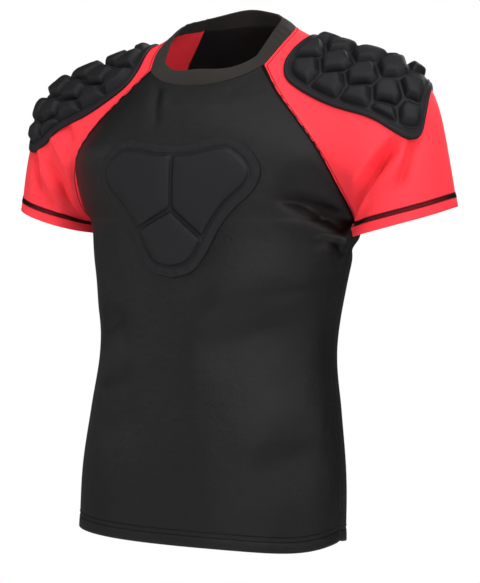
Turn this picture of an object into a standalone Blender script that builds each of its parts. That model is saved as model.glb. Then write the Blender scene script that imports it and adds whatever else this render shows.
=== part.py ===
"""Padded rugby top in the form that it has when worn.

A front, a back, raglan sleeves, a collar band and three foam pads.
Metres, +Z up. The front faces -Y and the wearer's left is +X. The origin is where the shoulders
carry the top, in the middle of the neck and level with the sides of the collar seam.
"""

import math

import bmesh
import bpy
import numpy as np
from mathutils import Vector
from mathutils.bvhtree import BVHTree
from mathutils.geometry import delaunay_2d_cdt

# Walls and gaps
CLOTH = 0.0016
COLLAR_CLOTH = 0.0024
HEM_EXTRA = 0.0007
VENT_HALF = 0.0016
SEAM_GAP = 0.0003
PAD_GAP = 0.0016
CHEST_GAP = 0.0010
THICKEST_MITRE = 1.5
SHARPEST_SEAM = 0.08

# Side seam, from the hem up to the underarm
# half width, depth, height
SIDE_SEAM = (
    (0.184, -0.034, -0.638),
    (0.182, -0.031, -0.560),
    (0.172, -0.025, -0.480),
    (0.162, -0.018, -0.400),
    (0.173, -0.011, -0.315),
    (0.190, -0.004, -0.238),
)
# Raglan seams, from the underarm up to the collar
# half width, depth, height
FRONT_SEAM = (
    (0.190, -0.004, -0.238),
    (0.197, -0.032, -0.222),
    (0.192, -0.062, -0.190),
    (0.179, -0.084, -0.150),
    (0.150, -0.084, -0.112),
    (0.114, -0.071, -0.074),
    (0.084, -0.050, -0.039),
)
BACK_SEAM = (
    (0.190, -0.004, -0.238),
    (0.194, 0.030, -0.215),
    (0.190, 0.060, -0.178),
    (0.174, 0.082, -0.135),
    (0.144, 0.086, -0.085),
    (0.106, 0.075, -0.030),
    (0.066, 0.056, 0.022),
)
# Edge of the sleeve that the collar is sewn to, from the front corner to the back one
NECK_EDGE = (
    (0.084, -0.050, -0.039),
    (0.092, -0.017, -0.010),
    (0.090, 0.022, 0.013),
    (0.066, 0.056, 0.022),
)
# Middle of the front and of the back, from the hem up to the collar
# depth, height
FRONT_LINE = (
    (-0.168, -0.637),
    (-0.159, -0.540),
    (-0.146, -0.440),
    (-0.138, -0.350),
    (-0.135, -0.270),
    (-0.136, -0.200),
    (-0.130, -0.140),
    (-0.108, -0.095),
    (-0.081, -0.064),
)
BACK_LINE = (
    (0.068, -0.637),
    (0.078, -0.530),
    (0.082, -0.430),
    (0.092, -0.330),
    (0.108, -0.230),
    (0.116, -0.140),
    (0.104, -0.050),
    (0.072, 0.026),
)
FRONT_NECK_SPREAD = math.radians(48)
BACK_NECK_SPREAD = math.radians(46)
SQUARENESS = 0.90
# how far the hem dips on its left, and where between the middle and the side seam
HEM_DIP = 0.009
HEM_DIP_ACROSS = 0.74
SPREAD_EASE = 0.75

# Sleeves
CUFF_CENTRE = Vector((0.254, 0.000, -0.235))
# how much further out and down each cuff hangs, and the angle by which its front tips up
CUFFS = {
    "left": (Vector((0.006, 0, -0.0045)), math.radians(-7.5)),
    "right": (Vector((-0.002, 0, 0)), math.radians(0)),
}
CUFF_HALF_WIDTH = 0.063
CUFF_HALF_DEPTH = 0.071
CUFF_OUT = math.radians(17)
SLEEVE_OUT = math.radians(6)
CUFF_NECK_SHARE = 0.15
SHOULDER_SLOPE = math.radians(17)
# how boxy the sleeve is at the seams and on top of the shoulder
LEAVING_FULLNESS = (1.20, 2.50)
ARRIVING_FULLNESS = (1.15, 2.10)
CUFF_EASE = 0.65
# how strongly the sleeve swings out at the armhole, and where on its seam that starts and ends
ARMHOLE_SWING = 0.8
SWING_START = 0.15
SWING_END = (0.25, 0.65)

# Collar band: how far its top edge stands in from its seam and above it
# at the front, the sides and the back
COLLAR_IN = (0.008, 0.018, 0.010)
COLLAR_UP = (0.021, 0.012, 0.020)

# Shoulder pads: front and back outline from the collar end round to the arm end
# length along the shoulder, half width
PAD_OUTLINE = (
    (0.025, 0.000),
    (0.025, 0.030),
    (0.030, 0.057),
    (0.047, 0.079),
    (0.085, 0.094),
    (0.128, 0.103),
    (0.170, 0.104),
    (0.206, 0.100),
    (0.233, 0.086),
    (0.249, 0.067),
    (0.252, 0.053),
    (0.242, 0.040),
    (0.226, 0.021),
    (0.213, 0.000),
)
PAD_BACK_OUTLINE = (
    (0.025, 0.000),
    (0.025, 0.030),
    (0.030, 0.057),
    (0.047, 0.079),
    (0.085, 0.094),
    (0.128, 0.103),
    (0.170, 0.103),
    (0.203, 0.095),
    (0.222, 0.078),
    (0.230, 0.056),
    (0.226, 0.034),
    (0.217, 0.015),
    (0.213, 0.000),
)
# how far each pad has swung back at its arm end, the left one and the right one
PAD_SWING = (0.002, -0.005)
# Line inside the shoulder that the pads wrap round, and how far they lean over and droop at its arm end
BONE_START = Vector((0.095, 0.000, -0.075))
BONE_END = Vector((0.225, 0.000, -0.120))
BONE_LEAN = (math.radians(18), math.radians(62))
PAD_DROOP = (1.05, 0.50)
# how far past the line's ends the pads reach, as shares of it, and how far round it they can wrap
BONE_REACH = (-0.06, 1.3)
PAD_WRAP = math.radians(125)
PAD_WRAP_STEPS = 50
RAY_START = 0.2
PAD_EDGE = 0.0030
PAD_BORDER = 0.011
# middles of the cells, those on the front half first
CELL_MIDDLES = [
    Vector(place)
    for place in (
        (0.049, 0.020),
        (0.063, 0.060),
        (0.075, -0.001),
        (0.097, 0.037),
        (0.109, 0.075),
        (0.123, 0.009),
        (0.143, 0.051),
        (0.153, 0.085),
        (0.170, 0.025),
        (0.189, 0.064),
        (0.199, 0.091),
        (0.195, 0.003),
        (0.209, 0.037),
        (0.227, 0.064),
        (0.046, -0.022),
        (0.058, -0.062),
        (0.094, -0.035),
        (0.103, -0.074),
        (0.142, -0.026),
        (0.146, -0.060),
        (0.158, -0.091),
        (0.184, -0.030),
        (0.188, -0.066),
        (0.213, -0.048),
    )
]
CELL_REACH = 0.048
CELL_CHANNEL = 0.0052
CELL_SIDE = 0.0024
CELL_SIDE_HEIGHT = 0.0054
CELL_CROWN = 0.0042
CELL_CROWN_HEIGHT = 0.0026
SMALLEST_CELL = 0.00015
NARROWEST_CELL = 0.0034
WHOLE_CELL = 0.012
CORNER_CUT = 0.0035

# Chest pad: half outline from the bottom round to the dip at the top
# height above the fork of the channel, half width
CHEST_FORK_HEIGHT = -0.222
CHEST_OUTLINE = (
    (-0.086, 0.000),
    (-0.078, 0.030),
    (-0.055, 0.049),
    (-0.027, 0.064),
    (-0.001, 0.084),
    (0.022, 0.109),
    (0.047, 0.119),
    (0.071, 0.106),
    (0.088, 0.079),
    (0.087, 0.050),
    (0.082, 0.024),
    (0.081, 0.000),
)
CHEST_REACH = 0.180
CHEST_EDGE = 0.0016
CHEST_BORDER = 0.014
CHEST_CHANNEL = 0.005
# fall of the channel's arms, the right one and the left one
CHEST_ARMS = (math.radians(27), math.radians(40))
CHEST_SIDE = 0.0022
CHEST_SIDE_HEIGHT = 0.0026
CHEST_CROWN = 0.005
CHEST_CROWN_HEIGHT = 0.0010

# Folds: soft troughs, each with a ridge on one side
# on the front and the back, start and end as distance across from the middle and height
# across, height, across, height, half width, depth, bow
FRONT_FOLDS = (
    (0.025, -0.378, 0.185, -0.328, 0.030, 0.0045, 0.006),
    (0.110, -0.520, 0.215, -0.494, 0.026, 0.0040, -0.006),
    (-0.120, -0.530, -0.030, -0.478, 0.030, 0.0030, 0.008),
    (-0.165, -0.405, -0.060, -0.352, 0.028, 0.0030, -0.006),
    (0.128, -0.188, 0.238, -0.232, 0.021, 0.0060, 0.006),
    (0.120, -0.226, 0.215, -0.268, 0.019, 0.0040, 0.004),
    (-0.215, -0.215, -0.150, -0.262, 0.021, 0.0040, -0.004),
)
BACK_FOLDS = (
    (-0.170, -0.430, 0.020, -0.395, 0.032, 0.0045, 0.010),
    (0.030, -0.462, 0.180, -0.415, 0.028, 0.0040, -0.008),
    (-0.235, -0.222, -0.110, -0.170, 0.022, 0.0050, 0.006),
    (0.120, -0.180, 0.230, -0.236, 0.022, 0.0045, -0.006),
    (0.060, -0.545, 0.190, -0.520, 0.030, 0.0030, 0.006),
)
# on the sleeves, start and end as distance round from the outer line towards the front and above the cuff
# round, above, round, above, half width, depth, bow
LEFT_FOLDS = (
    (0.046, 0.122, 0.200, 0.006, 0.017, 0.0055, 0.010),
    (0.020, 0.118, 0.110, 0.020, 0.015, 0.0035, 0.006),
    (-0.150, 0.020, -0.060, 0.110, 0.018, 0.0045, 0.008),
)
RIGHT_FOLDS = (
    (0.080, 0.118, 0.240, 0.016, 0.017, 0.0045, 0.012),
    (0.078, 0.084, 0.180, 0.006, 0.015, 0.0040, 0.006),
    (-0.190, 0.030, -0.085, 0.100, 0.019, 0.0045, -0.006),
)
RIDGE = 0.45
FOLD_ENDS = 0.35
SEAM_FADE = 0.18

# Mesh steps
SIDE_ROWS = 16
RAGLAN_ROWS = 12
ACROSS = 18
NECK_EDGE_STEPS = 8
SLEEVE_ROWS = 14
SLEEVE_SAMPLES = 60
COLLAR_ROWS = 2
PAD_STEP = 0.0105
CHEST_STEP = 0.013
BACK_STEP = 0.0074
VENT_ROWS = 3
FINE = 3
SLEEVE_EASING = 30
EASED_FROM = 0.5

# Finishes: colour, roughness
BLACK_KNIT = ((0.020, 0.019, 0.019), 0.62)
RED_KNIT = ((0.80, 0.030, 0.045), 0.60)
PAD_KNIT = ((0.018, 0.018, 0.020), 0.75)

UP = Vector((0, 0, 1))
FORWARD = Vector((0, -1, 0))
SIDEWAYS = Vector((1, 0, 0))
RIGHT_ANGLE = math.pi / 2


def mix(start, end, share):
    return start + (end - start) * share


def ease(share):
    share = min(max(share, 0.0), 1.0)
    return share * share * (3 - 2 * share)


def along(rows, share):
    """The point a share of the way along the smooth curve through the rows."""
    last = len(rows) - 1
    place = share * last
    first = min(max(int(place), 0), last - 1)
    part = place - first
    here, there = Vector(rows[first]), Vector(rows[first + 1])
    before = Vector(rows[first - 1]) if first > 0 else 2 * here - there
    after = Vector(rows[first + 2]) if first + 2 <= last else 2 * there - here
    bend = (2 * before - 5 * here + 4 * there - after) * part**2
    twist = (3 * here - before - 3 * there + after) * part**3
    return (2 * here + (there - before) * part + bend + twist) / 2


def depth_at(line, height):
    """The depth of a middle line at a height, on a smooth curve through its rows."""
    heights = [row[1] for row in line]
    last = len(line) - 1
    first = sum(1 for h in heights[1:last] if h <= height)
    share = (height - heights[first]) / (heights[first + 1] - heights[first])
    return along(line, (first + min(max(share, 0.0), 1.0)) / last)[0]


class Half:
    """The front or the back of the body: its raglan seam, middle line and how far it wraps at the neck."""

    def __init__(self, seam, line, neck_spread):
        self.seam = seam
        self.line = line
        self.neck_spread = neck_spread

    def point(self, place, across):
        """place: 0 at the hem, 1 at the underarm, 2 at the neck. across: -1 to 1 between the seams."""
        if place <= 1:
            seam = along(SIDE_SEAM, place)
            hem_drop = (self.line[0][1] - SIDE_SEAM[0][2]) * (1 - place)
            middle_height = seam.z + hem_drop
            spread = RIGHT_ANGLE
        else:
            seam = along(self.seam, place - 1)
            middle_height = mix(self.seam[0][2], self.line[-1][1], place - 1)
            spread = mix(RIGHT_ANGLE, self.neck_spread, (place - 1) ** SPREAD_EASE)
        middle_depth = depth_at(self.line, middle_height)
        dip = HEM_DIP * math.exp(-(((across - HEM_DIP_ACROSS) / 0.35) ** 2)) * max(1 - place, 0) ** 2
        angle = abs(across) * spread
        width = (math.sin(angle) / math.sin(spread)) ** SQUARENESS
        corner = max(math.cos(spread), 0.0) ** SQUARENESS
        bulge = (max(math.cos(angle), 0.0) ** SQUARENESS - corner) / (1 - corner)
        return Vector((
            math.copysign(seam.x * width, across),
            mix(seam.y, middle_depth, bulge),
            mix(seam.z, middle_height, bulge) - dip * bulge**0.5,
        ))

    def seam_normal(self, place):
        """Outward normal of the cloth at the left raglan seam."""
        step = 0.02
        outward = self.point(place, 1) - self.point(place, 1 - step)
        upward = self.point(min(place + step, 2), 1) - self.point(max(place - step, 1), 1)
        normal = outward.cross(upward).normalized()
        seam = self.point(place, 1)
        return normal if normal.dot(Vector((seam.x, seam.y, 0))) > 0 else -normal


FRONT = Half(FRONT_SEAM, FRONT_LINE, FRONT_NECK_SPREAD)
BACK = Half(BACK_SEAM, BACK_LINE, BACK_NECK_SPREAD)


def cuff_point(place, cuff):
    """The cuff's edge, from next to the body round the front, the outside and the back."""
    side = math.pi * (1 - CUFF_NECK_SHARE)
    from_body = min(place, 3 - place)
    if place <= 1:
        angle = side * place**CUFF_EASE
    elif place <= 2:
        angle = mix(side, 2 * math.pi - side, place - 1)
    else:
        angle = 2 * math.pi - side * (3 - place) ** CUFF_EASE
    outward = Vector((1, 0, math.tan(CUFF_OUT))).normalized()
    shift, tilt = cuff
    forward = Vector((0, -1, math.tan(tilt))).normalized()
    return (
        CUFF_CENTRE
        + shift * ease(from_body)
        - outward * CUFF_HALF_WIDTH * math.cos(angle)
        + forward * CUFF_HALF_DEPTH * math.sin(angle)
    )


def sleeve_edge(place):
    """The sleeve's sewn edge and the cloth's normal there.

    0 to 1 goes up the front, 1 to 2 round the neck, 2 to 3 down the back.
    """
    if place <= 1:
        return along(FRONT_SEAM, place), FRONT.seam_normal(1 + place)
    if place >= 2:
        return along(BACK_SEAM, 3 - place), BACK.seam_normal(4 - place)
    shoulder = Vector((math.sin(SHOULDER_SLOPE), 0, math.cos(SHOULDER_SLOPE)))
    corner = FRONT.seam_normal(2) if place < 1.5 else BACK.seam_normal(2)
    return along(NECK_EDGE, place - 1), mix(corner, shoulder, ease(1 - abs(place - 1.5) * 2)).normalized()


def sleeve_column(place, count, cuff):
    """Points of the left sleeve at equal steps from the sewn edge to the cuff."""
    start, normal = sleeve_edge(place)
    end = cuff_point(place, cuff)
    reach = end - start
    from_underarm = min(place, 3 - place)
    on_top = ease(from_underarm / 1.5)
    swung = reach + SIDEWAYS * reach.length * ARMHOLE_SWING * ease(from_underarm / SWING_START)
    smooth = reach - normal * reach.dot(normal)
    leaving = mix(swung, smooth, ease((from_underarm - SWING_END[0]) / (SWING_END[1] - SWING_END[0])))
    leaving *= mix(*LEAVING_FULLNESS, on_top)
    arriving = Vector((math.tan(SLEEVE_OUT), -math.tan(cuff[1]), -1)).normalized()
    arriving *= reach.length * mix(*ARRIVING_FULLNESS, on_top)
    walk = [(start, 0.0)]
    for t in steps(0, 1, SLEEVE_SAMPLES)[1:]:
        p = (
            start * (2 * t**3 - 3 * t**2 + 1)
            + leaving * (t**3 - 2 * t**2 + t)
            + end * (3 * t**2 - 2 * t**3)
            + arriving * (t**3 - t**2)
        )
        walk.append((p, walk[-1][1] + (p - walk[-1][0]).length))
    return [start] + [at_distance(walk, walk[-1][1] * share) for share in steps(0, 1, count)[1:-1]] + [end]


def at_distance(walk, distance):
    """The point a distance along a walk of points, each given with the distance to it."""
    for (p, near), (q, far) in zip(walk, walk[1:]):
        if far >= distance:
            return mix(p, q, (distance - near) / (far - near))
    raise ValueError(f"the walk ends before {distance:.3f} m")


def steps(start, end, count):
    return [mix(start, end, i / count) for i in range(count + 1)]


def body_grid(half):
    """Rows from the hem to the neck, in fine steps."""
    places = steps(0, 1, SIDE_ROWS * FINE) + steps(1, 2, RAGLAN_ROWS * FINE)[1:]
    return [[half.point(p, a) for a in steps(-1, 1, ACROSS * FINE)] for p in places]


def sleeve_grid(cuff):
    """Rows from the sewn edge to the cuff in fine steps, each a closed ring that starts at the underarm."""
    around = steps(0, 1, RAGLAN_ROWS * FINE)
    around += steps(1, 2, NECK_EDGE_STEPS * FINE)[1:]
    around += steps(2, 3, RAGLAN_ROWS * FINE)[1:-1]
    grid = np.array([sleeve_column(place, SLEEVE_ROWS * FINE, cuff) for place in around])
    share = np.array([ease(min(place, 3 - place) / EASED_FROM) for place in around])[:, None, None]
    for _ in range(SLEEVE_EASING):
        beside = np.roll(grid, 1, axis=0) + np.roll(grid, -1, axis=0)
        mean = (beside[:, 1:-1] + grid[:, :-2] + grid[:, 2:]) / 4
        grid[:, 1:-1] += 0.5 * share * (mean - grid[:, 1:-1])
    return [[Vector(p) for p in row] for row in grid.transpose(1, 0, 2)]


def flat_body(points):
    """Each point's distance across from the middle, and its height."""
    across = np.cumsum(np.linalg.norm(np.diff(points, axis=1, prepend=points[:, :1]), axis=2), axis=1)
    return across - across[:, [points.shape[1] // 2]], points[..., 2]


def flat_sleeve(points):
    """Each point's distance round from the outer line towards the front, and above the cuff."""
    around = np.cumsum(np.linalg.norm(np.diff(points, axis=1, prepend=points[:, :1]), axis=2), axis=1)
    below = np.linalg.norm(np.diff(points, axis=0, append=points[-1:]), axis=2)
    return around[:, [points.shape[1] // 2]] - around, np.cumsum(below[::-1], axis=0)[::-1]


def eased(share):
    share = np.clip(share, 0, 1)
    return share * share * (3 - 2 * share)


def folded(grid, folds, flat, fade, closed):
    """The grid with folds pressed into it, fading towards its seams."""
    points = np.array(grid)
    around = np.roll(points, -1, axis=1) - np.roll(points, 1, axis=1)
    if not closed:
        around[:, 0] = points[:, 1] - points[:, 0]
        around[:, -1] = points[:, -1] - points[:, -2]
    normal = np.cross(around, np.gradient(points, axis=0))
    normal /= np.maximum(np.linalg.norm(normal, axis=2, keepdims=True), 1e-12)
    first, second = flat(points)
    height = np.zeros(first.shape)
    for from_first, from_second, to_first, to_second, half_width, depth, bow in folds:
        way = np.array((to_first - from_first, to_second - from_second))
        share = ((first - from_first) * way[0] + (second - from_second) * way[1]) / way.dot(way)
        aside = ((second - from_second) * way[0] - (first - from_first) * way[1]) / np.hypot(*way)
        aside = (aside - 4 * bow * share * (1 - share)) / half_width
        profile = RIDGE * np.exp(-(((aside - 1.8) / 0.9) ** 2)) - np.exp(-(aside**2))
        height += depth * profile * eased(np.minimum(share, 1 - share) / FOLD_ENDS)
    points += normal * (height * fade)[..., None]
    return [[Vector(p) for p in row] for row in points]


def folded_body(half, folds, outward):
    """The front or the back with its folds; outward is 1 if its columns run anticlockwise from above."""
    grid = body_grid(half)
    beside = 1 - np.abs(steps(-1, 1, ACROSS * FINE))
    above = np.array(steps(0, 1, SIDE_ROWS * FINE) + steps(1, 2, RAGLAN_ROWS * FINE)[1:])
    fade = eased((2 - above) / SEAM_FADE)[:, None] * eased(beside / SEAM_FADE)[None, :]
    return folded(grid, folds, flat_body, fade * outward, False)


def folded_sleeve(folds, cuff):
    """A sleeve, as on the left, with folds; its rows run down the arm, so its grid's normals point in."""
    grid = sleeve_grid(cuff)
    fade = eased(np.array(steps(0, 1, SLEEVE_ROWS * FINE)) / SEAM_FADE)[:, None]
    return folded(grid, folds, flat_sleeve, -fade, True)


def coarse(grid):
    return [row[::FINE] for row in grid[::FINE]]


def turned(grid):
    """The grid with its columns in the other order, so that its faces point the other way."""
    return [row[::-1] for row in grid]


def mirrored(grid):
    return [[Vector((-p.x, p.y, p.z)) for p in row] for row in grid]


def collar_grid(front, back, left, right):
    """Rows from the collar seam to the top edge, rings that start at the front's right corner."""
    edge = NECK_EDGE_STEPS
    first = RAGLAN_ROWS
    left_edge = left[0][first : first + edge + 1]
    right_edge = right[0][first : first + edge + 1]
    ring = front[-1][:-1] + left_edge[:-1] + back[-1][::-1][:-1] + right_edge[::-1][:-1]
    rows = []
    for share in steps(0, 1, COLLAR_ROWS):
        row = []
        for p in ring:
            flat = Vector((p.x, p.y, 0)).normalized()
            side = abs(flat.x)
            end = 0 if flat.y < 0 else 2
            inward = mix(COLLAR_IN[end], COLLAR_IN[1], ease(side))
            upward = mix(COLLAR_UP[end], COLLAR_UP[1], ease(side))
            row.append(p - flat * inward * share + UP * upward * share)
        rows.append(row)
    return rows


class Panel:
    """One cut piece of cloth: a grid of points on its outer face, and the wall behind it."""

    def __init__(self, name, grid, closed, sewn, cloth, finish, hem_rows=()):
        self.name = name
        self.grid = grid
        self.closed = closed
        self.sewn = sewn
        self.cloth = cloth
        self.finish = finish
        self.hem_rows = hem_rows
        self.vented = "sides" in sewn
        self.rows = len(grid)
        self.columns = len(grid[0])

    def faces(self):
        last = self.columns if self.closed else self.columns - 1
        for i in range(self.rows - 1):
            for j in range(last):
                k = (j + 1) % self.columns
                yield (i, j), (i, k), (i + 1, k), (i + 1, j)

    def normals(self):
        """Area-weighted normals of the grid's points."""
        found = {}
        for face in self.faces():
            a, b, c, d = (self.grid[i][j] for i, j in face)
            normal = (c - a).cross(d - b)
            for corner in face:
                found[corner] = found.get(corner, Vector((0, 0, 0))) + normal
        return {corner: normal.normalized() for corner, normal in found.items()}

    def sewn_corners(self):
        """Each point on a sewn edge, with the way that the cloth leaves the seam there, square to it."""
        for edge in self.sewn:
            if edge in ("first", "last"):
                i, inner = (0, 1) if edge == "first" else (self.rows - 1, self.rows - 2)
                line = [((i, j), (inner, j)) for j in range(self.columns)]
                yield from self.ways_in(line, self.closed)
            else:
                yield from self.ways_in([((i, 0), (i, 1)) for i in range(self.rows)], False)
                last = self.columns - 1
                yield from self.ways_in([((i, last), (i, last - 1)) for i in range(self.rows)], False)

    def ways_in(self, line, closed):
        for k, (corner, inside) in enumerate(line):
            after = line[(k + 1) % len(line)][0] if closed else line[min(k + 1, len(line) - 1)][0]
            before = line[k - 1][0] if closed else line[max(k - 1, 0)][0]
            seam = (self.at(after) - self.at(before)).normalized()
            way = self.at(inside) - self.at(corner)
            yield corner, (way - seam * way.dot(seam)).normalized()

    def at(self, corner):
        return self.grid[corner[0]][corner[1]]


def key(point):
    return tuple(round(x, 5) for x in point)


def joined_normals(panels):
    """One normal and one wall stretch for each point, shared by the panels that are sewn together there."""
    sums = {}
    for panel in panels:
        for corner, normal in panel.normals().items():
            garment_part = "body" if panel.vented else panel.name
            found = sums.setdefault(key(panel.at(corner)), {})
            found[garment_part] = found.get(garment_part, Vector((0, 0, 0))) + normal
    shared = {}
    for place, found in sums.items():
        mean = sum((normal.normalized() for normal in found.values()), Vector((0, 0, 0))) / len(found)
        shared[place] = mean.normalized(), min(1 / max(mean.length, 0.01), THICKEST_MITRE)
    return shared


def sewn_ways(panels):
    """For each sewn point, the ways in which its panels leave it."""
    ways = {}
    for panel in panels:
        for corner, way in panel.sewn_corners():
            ways.setdefault(key(panel.at(corner)), []).append((panel.name, way))
    return ways


def panel_object(panel, shared, ways):
    """The panel as a closed wall, drawn back from its sewn edges, further where a seam is a fold."""
    outer = {(i, j): p.copy() for i, row in enumerate(panel.grid) for j, p in enumerate(row)}
    for corner, way in panel.sewn_corners():
        others = [other for name, other in ways[key(panel.at(corner))] if name != panel.name]
        opened = min((way - other).length / 2 for other in others)
        outer[corner] += way * SEAM_GAP / 2 / max(opened, SHARPEST_SEAM)
        if panel.vented and corner[0] < VENT_ROWS:
            outer[corner] += way * VENT_HALF * (1 - corner[0] / VENT_ROWS)
    bm = bmesh.new()
    skins = ({}, {})
    for (i, j), p in outer.items():
        normal, stretch = shared[key(panel.grid[i][j])]
        extra = HEM_EXTRA if i in panel.hem_rows else 0
        skins[0][i, j] = bm.verts.new(p + normal * extra)
        skins[1][i, j] = bm.verts.new(p - normal * panel.cloth * stretch)
    for face in panel.faces():
        bm.faces.new([skins[0][c] for c in face])
        bm.faces.new([skins[1][face[k]] for k in (0, 3, 2, 1)])
    outer_verts = set(skins[0].values())
    rims = [e for e in bm.edges if e.is_boundary and e.verts[0] in outer_verts]
    twin = {skins[0][c]: skins[1][c] for c in outer}
    for e in rims:
        a, b = e.link_loops[0].vert, e.link_loops[0].link_loop_next.vert
        bm.faces.new((b, a, twin[a], twin[b]))
    return finished(panel.name, bm, panel.finish)


def finish_material(name, colour, roughness):
    material = bpy.data.materials.new(name)
    material.use_nodes = True
    shader = material.node_tree.nodes["Principled BSDF"]
    shader.inputs["Base Color"].default_value = (*colour, 1)
    shader.inputs["Roughness"].default_value = roughness
    shader.inputs["Metallic"].default_value = 0
    return material


def finished(name, bm, finish):
    bm.normal_update()
    mesh = bpy.data.meshes.new(name)
    bm.to_mesh(mesh)
    bm.free()
    mesh.shade_smooth()
    mesh.set_sharp_from_angle(angle=math.radians(40))
    mesh.materials.append(finish_material(name, *finish))
    obj = bpy.data.objects.new(name, mesh)
    bpy.context.scene.collection.objects.link(obj)
    return obj


def cloth_tree(objects, side=1):
    """The finished pieces of cloth, to lay pads on, mirrored if the side is -1."""
    points, faces = [], []
    for obj in objects:
        obj.data.calc_loop_triangles()
        first = len(points)
        points += [Vector((v.co.x * side, v.co.y, v.co.z)) for v in obj.data.vertices]
        faces += [[first + k for k in triangle.vertices] for triangle in obj.data.loop_triangles]
    return BVHTree.FromPolygons(points, faces)


def smooth_tree(*grids):
    """Finer outer faces of the same cloth, for the way that pads stand off it."""
    points, faces = [], []
    for grid in grids:
        first = len(points)
        columns = len(grid[0])
        points += [p for row in grid for p in row]
        for i in range(len(grid) - 1):
            for j in range(columns - 1):
                faces.append([first + i * columns + k for k in (j, j + 1, columns + j + 1, columns + j)])
    return BVHTree.FromPolygons(points, faces)


def walked(tree, starts, way):
    """Points where rays from the starts meet the cloth, each with its distance from the first."""
    walk = []
    for start in starts:
        hit = tree.ray_cast(start, way(start))[0]
        if hit is None:
            break
        walk.append((hit, walk[-1][1] + (hit - walk[-1][0]).length if walk else 0.0))
    return walk


def moved_off(tree, point, height):
    """The point moved off the cloth along the smooth cloth's normal."""
    normal = tree.find_nearest(point)[1]
    return point + normal * height


def shoulder_placer(tree, smooth, droop):
    """Lays pad points on the left shoulder: length from the collar, width to the front, height."""
    walks = {}

    def section(share, side):
        lean = mix(*BONE_LEAN, share)
        centre = mix(BONE_START, BONE_END, share)
        over = Vector((math.sin(lean), 0, math.cos(lean)))
        down = Vector((math.cos(lean), 0, -math.sin(lean))) * droop * share
        starts = []
        for a in steps(0, PAD_WRAP, PAD_WRAP_STEPS):
            arm = over * math.cos(a) + FORWARD * side * math.sin(a) + down * (1 - math.cos(a))
            starts.append(centre + arm * RAY_START)
        return walked(tree, starts, lambda start: (centre - start).normalized())

    start = section(0, 1)[0][0]
    first = (start - sleeve_edge(1.5)[0]).length
    top = [(start, first, 0.0)]
    for share in steps(0, BONE_REACH[1], 100)[1:]:
        p = section(share, 1)[0][0]
        top.append((p, top[-1][1] + (p - top[-1][0]).length, share))
    for share in steps(0, BONE_REACH[0], 6)[1:]:
        p = section(share, 1)[0][0]
        top.insert(0, (p, top[0][1] - (p - top[0][0]).length, share))

    def walk(length, side):
        if (length, side) not in walks:
            share = next(
                mix(a, b, (length - near) / (far - near))
                for (_, near, a), (_, far, b) in zip(top, top[1:])
                if far >= length
            )
            walks[length, side] = section(share, side)
        return walks[length, side]

    def place(length, width, height):
        point = at_distance(walk(round(length, 5), 1 if width >= 0 else -1), abs(width))
        return moved_off(smooth, point, height)

    return place


def chest_placer(tree, smooth):
    """Lays pad points on the front: level above the fork, width from the middle, height."""
    walks = {}

    def walk(level, side):
        if (level, side) not in walks:
            starts = [Vector((side * across, -0.5, level)) for across in steps(0, CHEST_REACH, 45)]
            walks[level, side] = walked(tree, starts, lambda start: -FORWARD)
        return walks[level, side]

    def place(level, width, height):
        point = at_distance(walk(round(level + CHEST_FORK_HEIGHT, 5), 1 if width >= 0 else -1), abs(width))
        return moved_off(smooth, point, height)

    return place


def whole_outline(first_half, second_half, count):
    """The smooth closed outline whose two halves are given, anticlockwise."""
    first, second = ([along(rows, share) for share in steps(0, 1, count)] for rows in (first_half, second_half))
    return [Vector((p[0], -p[1])) for p in second[:-1]] + [Vector((p[0], p[1])) for p in first[:0:-1]]


def moved_in(outline, distance):
    """A smooth outline moved in by the distance, point by point."""
    points = []
    for i, p in enumerate(outline):
        way = (outline[(i + 1) % len(outline)] - outline[i - 1]).normalized()
        points.append(p + Vector((-way.y, way.x)) * distance)
    return points


def nearby_sides(outline, centre, reach):
    """The outline's sides within reach of the centre: a point on each and its inward way."""
    sides = []
    for p, q in zip(outline, outline[1:] + outline[:1]):
        if (mix(p, q, 0.5) - centre).length < reach:
            way = (q - p).normalized()
            sides.append((p, Vector((-way.y, way.x))))
    return sides


def clipped(polygon, sides):
    """The part of a convex polygon on the inner side of every line."""
    for point, inward in sides:
        kept = []
        for p, q in zip(polygon, polygon[1:] + polygon[:1]):
            a, b = (p - point).dot(inward), (q - point).dot(inward)
            if a >= 0:
                kept.append(p)
            if (a < 0) != (b < 0):
                kept.append(mix(p, q, a / (a - b)))
        polygon = kept
        if len(polygon) < 3:
            return []
    return polygon


def divided(polygon, step):
    """The polygon again with no side longer than the step, and none very short."""
    points = []
    for p, q in zip(polygon, polygon[1:] + polygon[:1]):
        if (q - p).length > 0.35 * step:
            count = math.ceil((q - p).length / step)
            points += [mix(p, q, k / count) for k in range(count)]
    return points


def softened(polygon):
    """The polygon with each corner cut off, closer to the corner than to the next one."""
    points = []
    for k, p in enumerate(polygon):
        points.append(mix(p, polygon[k - 1], min(0.25, CORNER_CUT / (p - polygon[k - 1]).length)))
        after = polygon[(k + 1) % len(polygon)]
        points.append(mix(p, after, min(0.25, CORNER_CUT / (p - after).length)))
    return points


def spaced(polygon, step):
    """The polygon again as points about a step apart."""
    lengths = [(q - p).length for p, q in zip(polygon, polygon[1:] + polygon[:1])]
    walk = [(polygon[0], 0.0)]
    for p, length in zip(polygon[1:] + polygon[:1], lengths):
        walk.append((p, walk[-1][1] + length))
    count = max(6, round(walk[-1][1] / step))
    return [at_distance(walk, walk[-1][1] * k / count) for k in range(count)]


def narrowest(polygon):
    """The distance from the polygon's middle to its nearest side."""
    middle = sum(polygon, Vector((0, 0))) / len(polygon)
    found = []
    for p, q in zip(polygon, polygon[1:] + polygon[:1]):
        way = (q - p).normalized()
        found.append((middle - p).dot(Vector((-way.y, way.x))))
    return min(found)


def area(polygon):
    return sum(p.x * q.y - q.x * p.y for p, q in zip(polygon, polygon[1:] + polygon[:1])) / 2


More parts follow.
